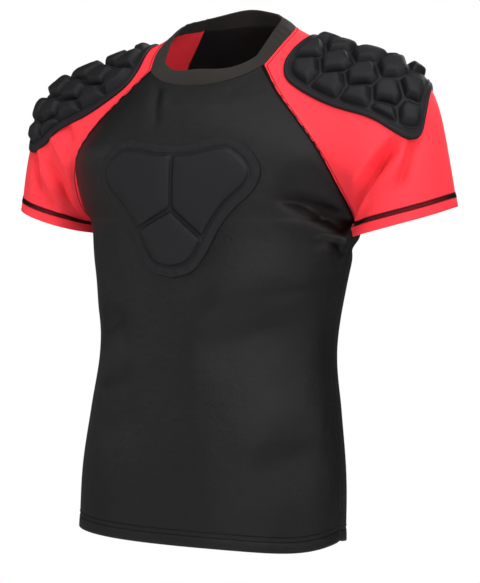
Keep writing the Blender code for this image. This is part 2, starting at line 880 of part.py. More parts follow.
def hexagon_cells(outline):
    """Foam cells, each up to halfway to its neighbours, cut off at the pad's border."""
    inner = moved_in(outline, PAD_BORDER)
    cells = []
    for centre in CELL_MIDDLES:
        square = [centre + Vector(corner) * CELL_REACH for corner in ((-1, -1), (1, -1), (1, 1), (-1, 1))]
        ways = [other - centre for other in CELL_MIDDLES if other != centre]
        sides = [(centre + way / 2 - way.normalized() * CELL_CHANNEL / 2, -way) for way in ways]
        nearest = min(inner, key=lambda p: (p - centre).length)
        cell = clipped(square, sides + nearby_sides(inner, nearest, CELL_REACH / 2))
        if len(cell) > 2 and area(cell) > SMALLEST_CELL and narrowest(cell) > NARROWEST_CELL:
            cells.append(divided(cell, PAD_STEP))
    return cells


def chest_cells(outline):
    """Three foam blocks, parted by a channel that runs down from the top and forks."""
    inner = moved_in(outline, CHEST_BORDER)
    gap = CHEST_CHANNEL / 2
    cells = []
    below = []
    for side, arm in zip((-1, 1), CHEST_ARMS):
        above = Vector((math.cos(arm), side * math.sin(arm)))
        below.append(-above)
        beside = Vector((0, side))
        block = clipped(inner, [(above * gap, above), (beside * gap, beside)])
        cells.append(spaced(softened(softened(block)), CHEST_STEP))
    block = clipped(inner, [(way * gap, way) for way in below])
    cells.append(spaced(softened(softened(block)), CHEST_STEP))
    return cells


def inside_points(outline, step, clear):
    """Points of a triangular lattice inside an outline, clear of its points by a distance."""
    low = Vector((min(p.x for p in outline), min(p.y for p in outline)))
    high = Vector((max(p.x for p in outline), max(p.y for p in outline)))
    points = []
    for i in range(int((high.x - low.x) / step) + 2):
        for j in range(int((high.y - low.y) / step) + 2):
            p = low + Vector((i + 0.5 * (j % 2), j)) * step
            nearest = min(range(len(outline)), key=lambda k: (outline[k] - p).length)
            way = outline[(nearest + 1) % len(outline)] - outline[nearest - 1]
            if (p - outline[nearest]).dot(Vector((-way.y, way.x)).normalized()) > clear:
                points.append(p)
    return points


def filled(bm, loop, points, height, holes=()):
    """Fills a flat loop of vertices with triangles through the points, but for the holes."""
    loops = [loop, *holes]
    corners = [v for each in loops for v in each]
    ends = [sum(len(each) for each in loops[:k]) for k in range(len(loops) + 1)]
    faces = [list(range(a, b)) for a, b in zip(ends, ends[1:])]
    edges = [(face[k - 1], face[k]) for face in faces for k in range(len(face))]
    places = [v.co.xy for v in corners] + list(points)
    found, _, triangles, origin, _, owners = delaunay_2d_cdt(places, edges, faces, 1, 1e-7)
    verts = []
    for p, olds in zip(found, origin):
        known = [corners[old] for old in olds if old < len(corners)]
        verts.append(known[0] if known else bm.verts.new((p.x, p.y, height)))
    for triangle, owner in zip(triangles, owners):
        if all(k == 0 for k in owner):
            bm.faces.new([verts[k] for k in triangle])


def inner_loop(bm, loop, distance, height):
    """A loop inside another, drawn in towards its middle and joined to it by a band of faces."""
    polygon = [v.co.xy for v in loop]
    middle = sum(polygon, Vector((0, 0))) / len(polygon)
    share = distance / narrowest(polygon)
    inner = [bm.verts.new((*mix(p, middle, share), height)) for p in polygon]
    for k in range(len(loop)):
        bm.faces.new((loop[k - 1], loop[k], inner[k], inner[k - 1]))
    return inner


def pad_mesh(outline, cells, gap, edge_height, raises, step, place):
    """A pad with a flat back, an edge, and cells raised in two slopes, laid on the cloth by place."""
    bm = bmesh.new()
    top = [bm.verts.new((p.x, p.y, edge_height)) for p in outline]
    loops = [[bm.verts.new((p.x, p.y, edge_height)) for p in cell] for cell in cells]
    filled(bm, top, [], edge_height, loops)
    for loop, cell in zip(loops, cells):
        height = edge_height
        size = min(1.0, narrowest(cell) / WHOLE_CELL)
        for distance, rise in raises:
            height += rise * size**0.5
            loop = inner_loop(bm, loop, distance * size, height)
        polygon = [v.co.xy for v in loop]
        filled(bm, loop, inside_points(polygon, 1.6 * step, 0.7 * step), height)
    bottom = [bm.verts.new((p.x, p.y, 0)) for p in outline]
    filled(bm, bottom, inside_points(outline, BACK_STEP, 0.5 * BACK_STEP), 0)
    for k in range(len(outline)):
        bm.faces.new((top[k], top[k - 1], bottom[k - 1], bottom[k]))
    for v in bm.verts:
        v.co = place(v.co.x, v.co.y, v.co.z + gap)
    return bm


def outward(bm):
    bmesh.ops.recalc_face_normals(bm, faces=bm.faces)
    return bm


def shoulder_pad(name, side, swing, place):
    """A shoulder pad, made on the left shoulder and mirrored if the side is -1."""
    outline = whole_outline(PAD_OUTLINE, PAD_BACK_OUTLINE, 30)
    raises = ((CELL_SIDE, CELL_SIDE_HEIGHT), (CELL_CROWN, CELL_CROWN_HEIGHT))
    start, end = PAD_OUTLINE[0][0], PAD_OUTLINE[-1][0]

    def swung(length, width, height):
        return place(length, width - swing * (length - start) / (end - start), height)

    bm = pad_mesh(outline, hexagon_cells(outline), PAD_GAP, PAD_EDGE, raises, PAD_STEP, swung)
    for v in bm.verts:
        v.co.x *= side
    finished(name, outward(bm), PAD_KNIT)


def chest_pad(place):
    outline = whole_outline(CHEST_OUTLINE, CHEST_OUTLINE, 24)
    cells = chest_cells(outline)
    raises = ((CHEST_SIDE, CHEST_SIDE_HEIGHT), (CHEST_CROWN, CHEST_CROWN_HEIGHT))
    bm = pad_mesh(outline, cells, CHEST_GAP, CHEST_EDGE, raises, CHEST_STEP, place)
    finished("chest_pad", outward(bm), PAD_KNIT)


def main():
    for obj in list(bpy.data.objects):
        bpy.data.objects.remove(obj, do_unlink=True)
    fine_front = folded_body(FRONT, FRONT_FOLDS, 1)
    fine_back = folded_body(BACK, BACK_FOLDS, -1)
    sleeve_folds = {"left": LEFT_FOLDS, "right": RIGHT_FOLDS}
    fine_sleeves = {name: folded_sleeve(folds, CUFFS[name]) for name, folds in sleeve_folds.items()}
    front, back, left = coarse(fine_front), coarse(fine_back), coarse(fine_sleeves["left"])
    right = mirrored(coarse(fine_sleeves["right"]))
    collar = collar_grid(front, back, left, right)
    body_seams, sleeve_seam = ("sides", "last"), ("first",)
    hem, cuff = (0,), (SLEEVE_ROWS,)
    panels = (
        Panel("front", front, False, body_seams, CLOTH, BLACK_KNIT, hem),
        Panel("back", turned(back), False, body_seams, CLOTH, BLACK_KNIT, hem),
        Panel("sleeve_left", turned(left), True, sleeve_seam, CLOTH, RED_KNIT, cuff),
        Panel("sleeve_right", right, True, sleeve_seam, CLOTH, RED_KNIT, cuff),
        Panel("collar", collar, True, sleeve_seam, COLLAR_CLOTH, BLACK_KNIT),
    )
    shared, ways = joined_normals(panels), sewn_ways(panels)
    made = {panel.name: panel_object(panel, shared, ways) for panel in panels}
    for name, side, swing, droop in zip(("left", "right"), (1, -1), PAD_SWING, PAD_DROOP):
        cloth = cloth_tree((made["sleeve_" + name], made["front"], made["back"]), side)
        fine_sleeve = [row[::-1] + row[-1:] for row in fine_sleeves[name]]
        fine_cloth = smooth_tree(fine_sleeve, fine_front, turned(fine_back))
        shoulder_pad("shoulder_pad_" + name, side, swing, shoulder_placer(cloth, fine_cloth, droop))
    chest_pad(chest_placer(cloth_tree((made["front"],)), smooth_tree(fine_front)))


main()
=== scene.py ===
"""Looks of a padded rugby top: knit panels with their folds, foam pads, sewing and a white studio.

Metres, +Z up. The front faces -Y and the wearer's left is +X.
"""

import math

import bmesh
import bpy
import numpy as np
from mathutils import Matrix, Vector
from mathutils.bvhtree import BVHTree
from mathutils.geometry import delaunay_2d_cdt


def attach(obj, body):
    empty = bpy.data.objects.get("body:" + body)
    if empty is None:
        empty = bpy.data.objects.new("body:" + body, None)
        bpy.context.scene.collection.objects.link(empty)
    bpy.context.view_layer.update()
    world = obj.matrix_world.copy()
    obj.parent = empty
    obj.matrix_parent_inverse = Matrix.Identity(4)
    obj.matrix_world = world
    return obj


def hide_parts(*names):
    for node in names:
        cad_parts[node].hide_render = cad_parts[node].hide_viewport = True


# Walls and gaps
CLOTH = 0.0016
COLLAR_CLOTH = 0.0024
SEAM_LAP = 0.0012
SEAM_TUCK = 0.0009
COLLAR_LAP = 0.0012
VENT_HALF = 0.0016
VENT_HEIGHT = 0.075
PAD_GAP = 0.0014
PAD_SEAT = 0.0003

# Side seam, from the hem up to the underarm
# half width, depth, height
SIDE_SEAM = (
    (0.184, -0.034, -0.638),
    (0.182, -0.031, -0.560),
    (0.172, -0.025, -0.480),
    (0.162, -0.018, -0.400),
    (0.173, -0.011, -0.315),
    (0.190, -0.004, -0.238),
)
# Raglan seams, from the underarm up to the collar
# half width, depth, height
FRONT_SEAM = (
    (0.190, -0.004, -0.238),
    (0.197, -0.032, -0.222),
    (0.192, -0.062, -0.190),
    (0.179, -0.084, -0.150),
    (0.150, -0.084, -0.112),
    (0.114, -0.071, -0.074),
    (0.084, -0.050, -0.039),
)
BACK_SEAM = (
    (0.190, -0.004, -0.238),
    (0.194, 0.030, -0.215),
    (0.190, 0.060, -0.178),
    (0.174, 0.082, -0.135),
    (0.144, 0.086, -0.085),
    (0.106, 0.075, -0.030),
    (0.066, 0.056, 0.022),
)
# Edge of the sleeve that the collar is sewn to, from the front corner to the back one
NECK_EDGE = (
    (0.084, -0.050, -0.039),
    (0.092, -0.017, -0.010),
    (0.090, 0.022, 0.013),
    (0.066, 0.056, 0.022),
)
# Middle of the front and of the back, from the hem up to the collar
# depth, height
FRONT_LINE = (
    (-0.168, -0.637),
    (-0.159, -0.540),
    (-0.146, -0.440),
    (-0.138, -0.350),
    (-0.135, -0.270),
    (-0.136, -0.200),
    (-0.130, -0.140),
    (-0.108, -0.095),
    (-0.081, -0.064),
)
BACK_LINE = (
    (0.068, -0.637),
    (0.078, -0.530),
    (0.082, -0.430),
    (0.092, -0.330),
    (0.108, -0.230),
    (0.116, -0.140),
    (0.104, -0.050),
    (0.072, 0.026),
)
FRONT_NECK_SPREAD = math.radians(48)
BACK_NECK_SPREAD = math.radians(46)
SQUARENESS = 0.90
HEM_DIP = 0.009
HEM_DIP_ACROSS = 0.74
HEM_DIP_WIDTH = 0.35
SPREAD_EASE = 0.75

# Sleeves
CUFF_CENTRE = Vector((0.254, 0.000, -0.235))
# how much further out and down each cuff hangs, and the angle by which its front tips up
CUFFS = {
    "left": (Vector((0.006, 0, -0.0045)), math.radians(-7.5)),
    "right": (Vector((-0.002, 0, 0)), math.radians(0)),
}
CUFF_HALF_WIDTH = 0.063
CUFF_HALF_DEPTH = 0.071
CUFF_OUT = math.radians(17)
SLEEVE_OUT = math.radians(6)
CUFF_NECK_SHARE = 0.15
SHOULDER_SLOPE = math.radians(17)
LEAVING_FULLNESS = (1.20, 2.50)
ARRIVING_FULLNESS = (1.15, 2.10)
CUFF_EASE = 0.65
ARMHOLE_SWING = 0.8
SWING_START = 0.15
SWING_END = (0.25, 0.65)

# Collar band: how far its top edge stands in from its seam and above it
# at the front, the sides and the back
COLLAR_IN = (0.008, 0.018, 0.010)
COLLAR_UP = (0.021, 0.012, 0.020)
COLLAR_BULGE = 0.0010

# Shoulder pads: front and back outline from the collar round to the arm
# length along the shoulder, half width
PAD_COLLAR_END = (
    (0.025, 0.000),
    (0.025, 0.030),
    (0.030, 0.057),
    (0.047, 0.079),
    (0.085, 0.094),
    (0.128, 0.103),
)
PAD_OUTLINE = PAD_COLLAR_END + (
    (0.170, 0.104),
    (0.206, 0.100),
    (0.233, 0.086),
    (0.249, 0.067),
    (0.252, 0.053),
    (0.242, 0.040),
    (0.226, 0.021),
    (0.213, 0.000),
)
PAD_BACK_OUTLINE = PAD_COLLAR_END + (
    (0.170, 0.103),
    (0.203, 0.095),
    (0.222, 0.078),
    (0.230, 0.056),
    (0.226, 0.034),
    (0.217, 0.015),
    (0.213, 0.000),
)
PAD_SWING = {"left": 0.002, "right": -0.005}
BONE_START = Vector((0.095, 0.000, -0.075))
BONE_END = Vector((0.225, 0.000, -0.120))
BONE_LEAN = (math.radians(18), math.radians(62))
PAD_DROOP = {"left": 1.05, "right": 0.50}
BONE_REACH = (-0.06, 1.3)
PAD_WRAP = math.radians(125)
PAD_WRAP_STEPS = 80
RAY_START = 0.2
PAD_EDGE = 0.0030
PAD_BORDER = 0.011
# middles of the cells, those on the front half first
CELL_MIDDLES = [
    Vector(place)
    for place in (
        (0.049, 0.020),
        (0.063, 0.060),
        (0.075, -0.001),
        (0.097, 0.037),
        (0.109, 0.075),
        (0.123, 0.009),
        (0.143, 0.051),
        (0.153, 0.085),
        (0.170, 0.025),
        (0.189, 0.064),
        (0.199, 0.091),
        (0.195, 0.003),
        (0.209, 0.037),
        (0.227, 0.064),
        (0.046, -0.022),
        (0.058, -0.062),
        (0.094, -0.035),
        (0.103, -0.074),
        (0.142, -0.026),
        (0.146, -0.060),
        (0.158, -0.091),
        (0.184, -0.030),
        (0.188, -0.066),
        (0.213, -0.048),
    )
]
CELL_REACH = 0.048
CELL_CHANNEL = 0.0036
CELL_HEIGHT = 0.0092
CELL_CROWN = 0.0008
CELL_ROUND = 0.0054
CELL_CORNER = 0.0036
SMALLEST_CELL = 0.00015
NARROWEST_CELL = 0.0034
WHOLE_CELL = 0.012
# border of the shoulder pads: distance in from the edge, height above the cloth
PAD_TOP = PAD_GAP + PAD_EDGE - PAD_SEAT
PAD_PROFILE = (
    (0.0002, 0.45 * PAD_TOP),
    (0.0007, 0.78 * PAD_TOP),
    (0.0015, 0.95 * PAD_TOP),
    (0.0026, PAD_TOP),
    (0.0040, PAD_TOP),
    (0.0050, PAD_TOP - 0.0006),
    (0.0058, PAD_TOP - 0.0007),
    (0.0068, PAD_TOP - 0.0001),
    (0.0078, PAD_TOP),
    (0.0086, PAD_TOP - 0.0004),
    (0.0094, PAD_TOP - 0.0015),
)

# Chest pad: half outline from the bottom round to the dip at the top
# height above the fork of the channel, half width
CHEST_FORK_HEIGHT = -0.222
CHEST_OUTLINE = (
    (-0.086, 0.000),
    (-0.078, 0.030),
    (-0.055, 0.049),
    (-0.027, 0.064),
    (-0.001, 0.084),
    (0.022, 0.109),
    (0.047, 0.119),
    (0.071, 0.106),
    (0.088, 0.079),
    (0.087, 0.050),
    (0.082, 0.024),
    (0.081, 0.000),
)
CHEST_REACH = 0.180
CHEST_EDGE = 0.0016
CHEST_BORDER = 0.014
CHEST_CHANNEL = 0.0036
# fall of the channel's arms, the right one and the left one
CHEST_ARMS = (math.radians(27), math.radians(40))
CHEST_HEIGHT = 0.0042
CHEST_CROWN = 0.0004
CHEST_ROUND = 0.0026
CHEST_CORNER = 0.0060
# border of the chest pad: distance in from the edge, height above the cloth
CHEST_TOP = PAD_GAP + CHEST_EDGE - PAD_SEAT
CHEST_PROFILE = (
    (0.0002, 0.5 * CHEST_TOP),
    (0.0007, 0.85 * CHEST_TOP),
    (0.0016, CHEST_TOP),
    (0.0026, CHEST_TOP - 0.0003),
    (0.0036, CHEST_TOP - 0.0005),
    (0.0048, CHEST_TOP - 0.0001),
    (0.0062, CHEST_TOP),
    (0.0100, CHEST_TOP),
    (0.0112, CHEST_TOP - 0.0003),
    (0.0122, CHEST_TOP - 0.0011),
)
# waves round its border: height, how many, how they wander and how they swell
BORDER_WAVE = 0.0006
BORDER_WAVES = 31
BORDER_WANDER = 1.5
BORDER_WANDERS = 5
BORDER_SWELL = (0.6, 0.4)
BORDER_SWELLS = 3
BORDER_SWELL_START = 1

# Foam blocks: steps in over the rounded edge, then over the top
DOME_EDGE = (0.04, 0.11, 0.20, 0.31, 0.44, 0.58, 0.76, 1.0)
DOME_TOP = (0.35, 0.68)
DOME_ROUNDNESS = 1.45
WIDEST_DOME_EDGE = 0.8

# Folds: soft troughs, each with a ridge on one side
# on the front and the back, start and end as distance across from the middle and height
# across, height, across, height, half width, depth, bow
FRONT_FOLDS = (
    (0.025, -0.378, 0.185, -0.328, 0.030, 0.0045, 0.006),
    (0.110, -0.520, 0.215, -0.494, 0.026, 0.0040, -0.006),
    (-0.120, -0.530, -0.030, -0.478, 0.030, 0.0030, 0.008),
    (-0.165, -0.405, -0.060, -0.352, 0.028, 0.0030, -0.006),
    (0.128, -0.188, 0.238, -0.232, 0.021, 0.0060, 0.006),
    (0.120, -0.226, 0.215, -0.268, 0.019, 0.0040, 0.004),
    (-0.215, -0.215, -0.150, -0.262, 0.021, 0.0040, -0.004),
)
BACK_FOLDS = (
    (-0.170, -0.430, 0.020, -0.395, 0.032, 0.0045, 0.010),
    (0.030, -0.462, 0.180, -0.415, 0.028, 0.0040, -0.008),
    (-0.235, -0.222, -0.110, -0.170, 0.022, 0.0050, 0.006),
    (0.120, -0.180, 0.230, -0.236, 0.022, 0.0045, -0.006),
    (0.060, -0.545, 0.190, -0.520, 0.030, 0.0030, 0.006),
)
# on the sleeves, start and end as distance round to the front from the outer line and above the cuff
# round, above, round, above, half width, depth, bow
SLEEVE_FOLDS = {
    "left": (
        (0.046, 0.122, 0.200, 0.006, 0.017, 0.0055, 0.010),
        (0.020, 0.118, 0.110, 0.020, 0.015, 0.0035, 0.006),
        (-0.150, 0.020, -0.060, 0.110, 0.018, 0.0045, 0.008),
    ),
    "right": (
        (0.080, 0.118, 0.240, 0.016, 0.017, 0.0045, 0.012),
        (0.078, 0.084, 0.180, 0.006, 0.015, 0.0040, 0.006),
        (-0.190, 0.030, -0.085, 0.100, 0.019, 0.0045, -0.006),
    ),
}
# Creases: sharper than the folds, steep on one side; a ridge where the depth is below zero
FRONT_CREASES = (
    (0.178, -0.258, 0.255, -0.272, 0.010, 0.0076, 0.003),
    (-0.070, -0.030, -0.026, -0.126, 0.010, 0.0032, -0.002),
    (0.246, -0.252, 0.128, -0.206, 0.017, 0.0150, -0.003),
    (-0.214, -0.226, -0.156, -0.290, 0.012, 0.0044, 0.004),
    (0.205, -0.308, 0.008, -0.364, 0.038, -0.0086, -0.006),
    (0.020, -0.412, 0.190, -0.366, 0.044, 0.0040, 0.006),
    (-0.135, -0.460, -0.045, -0.425, 0.024, 0.0030, -0.004),
    (0.250, -0.484, 0.080, -0.514, 0.036, -0.0062, 0.005),
    (-0.150, -0.392, -0.070, -0.356, 0.024, 0.0030, -0.004),
)
BACK_CREASES = (
    (-0.205, -0.262, -0.130, -0.235, 0.012, 0.0050, 0.004),
    (0.150, -0.250, 0.225, -0.275, 0.012, 0.0056, -0.003),
    (-0.120, -0.370, 0.010, -0.352, 0.019, 0.0044, 0.006),
    (-0.060, -0.500, 0.060, -0.482, 0.020, 0.0040, -0.005),
    (0.020, -0.110, 0.085, -0.060, 0.013, 0.0030, 0.004),
)
SLEEVE_CREASES = {
    "left": (
        (0.272, 0.008, 0.036, 0.104, 0.014, 0.0125, -0.007),
        (0.232, 0.046, 0.068, 0.116, 0.009, -0.0034, -0.003),
        (0.062, 0.110, 0.156, 0.066, 0.010, 0.0050, 0.002),
        (0.034, 0.112, 0.098, 0.030, 0.012, 0.0088, 0.003),
        (-0.120, 0.060, -0.040, 0.105, 0.011, 0.0048, 0.005),
        (-0.190, 0.040, -0.120, 0.012, 0.012, 0.0044, 0.006),
    ),
    "right": (
        (0.250, 0.031, 0.104, 0.092, 0.013, 0.0064, -0.004),
        (0.206, 0.086, 0.084, 0.130, 0.007, -0.0024, -0.003),
        (0.092, 0.166, 0.152, 0.136, 0.013, 0.0034, 0.003),
        (0.060, 0.098, 0.138, 0.020, 0.011, 0.0058, 0.013),
        (-0.140, 0.050, -0.050, 0.110, 0.011, 0.0046, -0.005),
    ),
}
# ridges: height as a share of the depth, then place and width in half widths
RIDGE = 0.45
RIDGE_ASIDE = 1.8
RIDGE_WIDTH = 0.9
CREASE_RIDGE = 0.35
CREASE_RIDGE_ASIDE = 1.3
CREASE_RIDGE_WIDTH = 0.8
CREASE_STEEPNESS = 0.45
CREASE_FADE = 3
FOLD_ENDS = 0.35
SEAM_FADE = 0.18

# Puckers along the seams
PUCKER_HEIGHT = 0.0006
PUCKER_REACH = 0.011
PUCKER_LENGTH = 0.016
PUCKER_WANDER = 1.4
PUCKER_WANDER_LENGTH = 4.3 * PUCKER_LENGTH
PUCKER_SWELL = (0.6, 0.4)
PUCKER_SWELL_LENGTH = 7.1 * PUCKER_LENGTH
PUCKER_START = {"front": 0.4, "back": 2.1, "left": 1.0, "right": 3.2}
# strength on the raglan seams of the body, the first side and the last one
RAGLAN_PUCKERS = (1.2, 0.4)
SIDE_PUCKERS = 0.45
SLEEVE_PUCKERS = 0.5
PUCKER_NECK_FADE = 0.2
TUCK_NECK_FADE = 0.125

# Hems and cuffs, folded up and sewn
HEM_HEIGHT = 0.0135
CUFF_HEM_HEIGHT = 0.0150
HEM_EXTRA = 0.0007
HEM_STEP = 0.0035

# Sewing: length, width and thickness of a stitch, and the distance from one to the next
STITCH = (0.0029, 0.0014, 0.0009)
STITCH_STEP = 0.0034
STITCH_LIFT = 0.0001
THREAD = 0.0012
COVER_WIDTH = 0.0060
COVER_STEP = 0.0021
COVER_LIFT = 0.0002
# thickness of the threads that cross, as shares of a thread, and length of the loops along the edges
UNDER_THREAD = 0.6
OVER_THREAD = 0.8
EDGE_LOOP = 0.6
NEEDLE_ASIDE = 0.0052
FLATLOCK = (0.0004, 0.0042)
FLATLOCK_LIFT = 0.0003

# Mesh steps, the first ones as in the solids
SIDE_ROWS = 48
RAGLAN_ROWS = 36
ACROSS = 54
NECK_EDGE_STEPS = 24
SLEEVE_ROWS = 42
SLEEVE_SAMPLES = 60
SLEEVE_EASING = 30
EASED_FROM = 0.5
FINER = 3
SLEEVE_FINER = 3
COLLAR_RISE_STEPS = 12
COLLAR_TOP_STEPS = 6
PAD_OUTLINE_STEPS = 120
CHEST_OUTLINE_STEPS = 100
OUTLINE_STEP = 0.0028
BONE_STEPS = (6, 100)
CHEST_SECTION_STEPS = 90
CHEST_RAY_START = -0.5
BED_MARGIN = 0.006
BED_EASING = 6
BED_STEP = 0.002
CELL_STEP = 0.0022
CHANNEL_STEP = 0.0042
BACK_STEP = 0.0080
# lattice of points: clear of the border, the cells and the back's edge, as shares of its step
CHANNEL_CLEAR = 0.6
CELL_CLEAR = 0.35
BACK_CLEAR = 0.5
CELL_NEAR = 0.03

# Camera of the photograph and its frame in pixels
CAMERA_PLACE = Vector((1.150, -1.992, -0.238))
CAMERA_TURN = math.radians(30)
FOCAL_PIXELS = 1748.0
FRAME_HEIGHT = 583
HORIZON_ASIDE = 14.0
HORIZON_ABOVE = 69.5
SENSOR = 36.0

# Studio
FLOOR_HEIGHT = -1.45
FLOOR_RADIUS = 2.8
# strength of the white surroundings, as seen and as light
WHITE_SEEN = 1.0
WHITE_LIGHT = 0.10
# lights: name, place, target, size, watts
LIGHTS = (
    ("overhead_light", (0.5, -0.65, 1.9), (0, 0, -0.20), (1.6, 1.2), 50),
    ("right_light", (2.0, -1.0, 0.45), (0.05, 0, -0.3), (0.8, 1.7), 56),
    ("front_light", (-0.8, -2.5, 0.9), (0, 0, -0.3), (1.4, 1.4), 38),
    ("left_light", (-2.3, -0.5, 0.1), (0, 0, -0.3), (0.8, 1.4), 8),
    ("low_light", (-0.4, -2.3, -1.25), (0, 0, -0.25), (1.6, 0.7), 22),
    ("back_light", (0.4, 2.3, 1.2), (0, 0, -0.2), (1.6, 1.2), 28),
)

UP = Vector((0, 0, 1))
FORWARD = Vector((0, -1, 0))
SIDEWAYS = Vector((1, 0, 0))
RIGHT_ANGLE = math.pi / 2


# Curves and shares


def mix(start, end, share):
    return start + (end - start) * share


def ease(share):
    share = min(max(share, 0.0), 1.0)
    return share * share * (3 - 2 * share)


def eased(share):
    share = np.clip(share, 0, 1)
    return share * share * (3 - 2 * share)


def steps(start, end, count):
    return [mix(start, end, i / count) for i in range(count + 1)]


def through(before, here, there, after, part):
    """The place between here and there on a smooth curve through all four."""
    bend = (2 * before - 5 * here + 4 * there - after) * part**2
    twist = (3 * here - before - 3 * there + after) * part**3
    return (2 * here + (there - before) * part + bend + twist) / 2


def along(rows, share):
    """The point a share of the way along the smooth curve through the rows."""
    last = len(rows) - 1
    place = share * last
    first = min(max(int(place), 0), last - 1)
    part = place - first
    here, there = Vector(rows[first]), Vector(rows[first + 1])
    before = Vector(rows[first - 1]) if first > 0 else 2 * here - there
    after = Vector(rows[first + 2]) if first + 2 <= last else 2 * there - here
    return through(before, here, there, after, part)


def depth_at(line, height):
    """The depth of a middle line at a height, on a smooth curve through its rows."""
    heights = [row[1] for row in line]
    last = len(line) - 1
    first = sum(1 for h in heights[1:last] if h <= height)
    share = (height - heights[first]) / (heights[first + 1] - heights[first])
    return along(line, (first + min(max(share, 0.0), 1.0)) / last)[0]


def at_distance(walk, distance):
    """The point a distance along a walk of points, each given with the distance to it."""
    for (p, near), (q, far) in zip(walk, walk[1:]):
        if far >= distance:
            return mix(p, q, (distance - near) / (far - near))
    return walk[-1][0]


def finer(points, times, axis, closed=False):
    """The points again, with smooth extra ones between them along one axis."""
    points = np.moveaxis(points, axis, 0)
    if closed:
        before, here, there, after = (np.roll(points, k, axis=0) for k in (1, 0, -1, -2))
    else:
        ends = 2 * points[:1] - points[1:2], points, 2 * points[-1:] - points[-2:-1]
        longer = np.concatenate(ends)
        before, here, there, after = longer[:-3], longer[1:-2], longer[2:-1], longer[3:]
    made = [through(before, here, there, after, k / times) for k in range(times)]
    fine = np.stack(made, axis=1).reshape(-1, *points.shape[1:])
    if not closed:
        fine = np.concatenate((fine, points[-1:]))
    return np.moveaxis(fine, 0, axis)


# Form of the body and the sleeves


class Half:
    """The front or the back of the body: its raglan seam, its middle line and its spread at the neck."""

    def __init__(self, seam, line, neck_spread):
        self.seam = seam
        self.line = line
        self.neck_spread = neck_spread

    def point(self, place, across):
        """place: 0 at the hem, 1 at the underarm, 2 at the neck. across: -1 to 1 between the seams."""
        if place <= 1:
            seam = along(SIDE_SEAM, place)
            hem_drop = (self.line[0][1] - SIDE_SEAM[0][2]) * (1 - place)
            middle_height = seam.z + hem_drop
            spread = RIGHT_ANGLE
        else:
            seam = along(self.seam, place - 1)
            middle_height = mix(self.seam[0][2], self.line[-1][1], place - 1)
            spread = mix(RIGHT_ANGLE, self.neck_spread, (place - 1) ** SPREAD_EASE)
        middle_depth = depth_at(self.line, middle_height)
        from_dip = (across - HEM_DIP_ACROSS) / HEM_DIP_WIDTH
        dip = HEM_DIP * math.exp(-(from_dip**2)) * max(1 - place, 0) ** 2
        angle = abs(across) * spread
        width = (math.sin(angle) / math.sin(spread)) ** SQUARENESS
        corner = max(math.cos(spread), 0.0) ** SQUARENESS
        bulge = (max(math.cos(angle), 0.0) ** SQUARENESS - corner) / (1 - corner)
        return Vector((
            math.copysign(seam.x * width, across),
            mix(seam.y, middle_depth, bulge),
            mix(seam.z, middle_height, bulge) - dip * bulge**0.5,
        ))

    def seam_normal(self, place):
        """Outward normal of the cloth at the left raglan seam."""
        step = 0.02
        outward = self.point(place, 1) - self.point(place, 1 - step)
        upward = self.point(min(place + step, 2), 1) - self.point(max(place - step, 1), 1)
        normal = outward.cross(upward).normalized()
        seam = self.point(place, 1)
        return normal if normal.dot(Vector((seam.x, seam.y, 0))) > 0 else -normal


FRONT = Half(FRONT_SEAM, FRONT_LINE, FRONT_NECK_SPREAD)
BACK = Half(BACK_SEAM, BACK_LINE, BACK_NECK_SPREAD)


def cuff_point(place, cuff):
    """The cuff's edge, from next to the body round the front, the outside and the back."""
    side = math.pi * (1 - CUFF_NECK_SHARE)
    if place <= 1:
        angle = side * place**CUFF_EASE
    elif place <= 2:
        angle = mix(side, 2 * math.pi - side, place - 1)
    else:
        angle = 2 * math.pi - side * (3 - place) ** CUFF_EASE
    outward = Vector((1, 0, math.tan(CUFF_OUT))).normalized()
    shift, tilt = cuff
    forward = Vector((0, -1, math.tan(tilt))).normalized()
    return (
        CUFF_CENTRE
        + shift * ease(min(place, 3 - place))
        - outward * CUFF_HALF_WIDTH * math.cos(angle)
        + forward * CUFF_HALF_DEPTH * math.sin(angle)
    )


def sleeve_edge(place):
    """The sleeve's sewn edge and the cloth's normal there: up the front, round the neck, down the back."""
    if place <= 1:
        return along(FRONT_SEAM, place), FRONT.seam_normal(1 + place)
    if place >= 2:
        return along(BACK_SEAM, 3 - place), BACK.seam_normal(4 - place)
    shoulder = Vector((math.sin(SHOULDER_SLOPE), 0, math.cos(SHOULDER_SLOPE)))
    corner = FRONT.seam_normal(2) if place < 1.5 else BACK.seam_normal(2)
    normal = mix(corner, shoulder, ease(1 - abs(place - 1.5) * 2)).normalized()
    return along(NECK_EDGE, place - 1), normal


def sleeve_column(place, count, cuff):
    """Points of the left sleeve at equal steps from the sewn edge to the cuff."""
    start, normal = sleeve_edge(place)
    end = cuff_point(place, cuff)
    reach = end - start
    from_underarm = min(place, 3 - place)
    on_top = ease(from_underarm / 1.5)
    swung = reach + SIDEWAYS * reach.length * ARMHOLE_SWING * ease(from_underarm / SWING_START)
    smooth = reach - normal * reach.dot(normal)
    swing_end = (from_underarm - SWING_END[0]) / (SWING_END[1] - SWING_END[0])
    leaving = mix(swung, smooth, ease(swing_end))
    leaving *= mix(*LEAVING_FULLNESS, on_top)
    arriving = Vector((math.tan(SLEEVE_OUT), -math.tan(cuff[1]), -1)).normalized()
    arriving *= reach.length * mix(*ARRIVING_FULLNESS, on_top)
    walk = [(start, 0.0)]
    for t in steps(0, 1, SLEEVE_SAMPLES)[1:]:
        p = (
            start * (2 * t**3 - 3 * t**2 + 1)
            + leaving * (t**3 - 2 * t**2 + t)
            + end * (3 * t**2 - 2 * t**3)
            + arriving * (t**3 - t**2)
        )
        walk.append((p, walk[-1][1] + (p - walk[-1][0]).length))
    whole = walk[-1][1]
    return [start] + [at_distance(walk, whole * share) for share in steps(0, 1, count)[1:-1]] + [end]


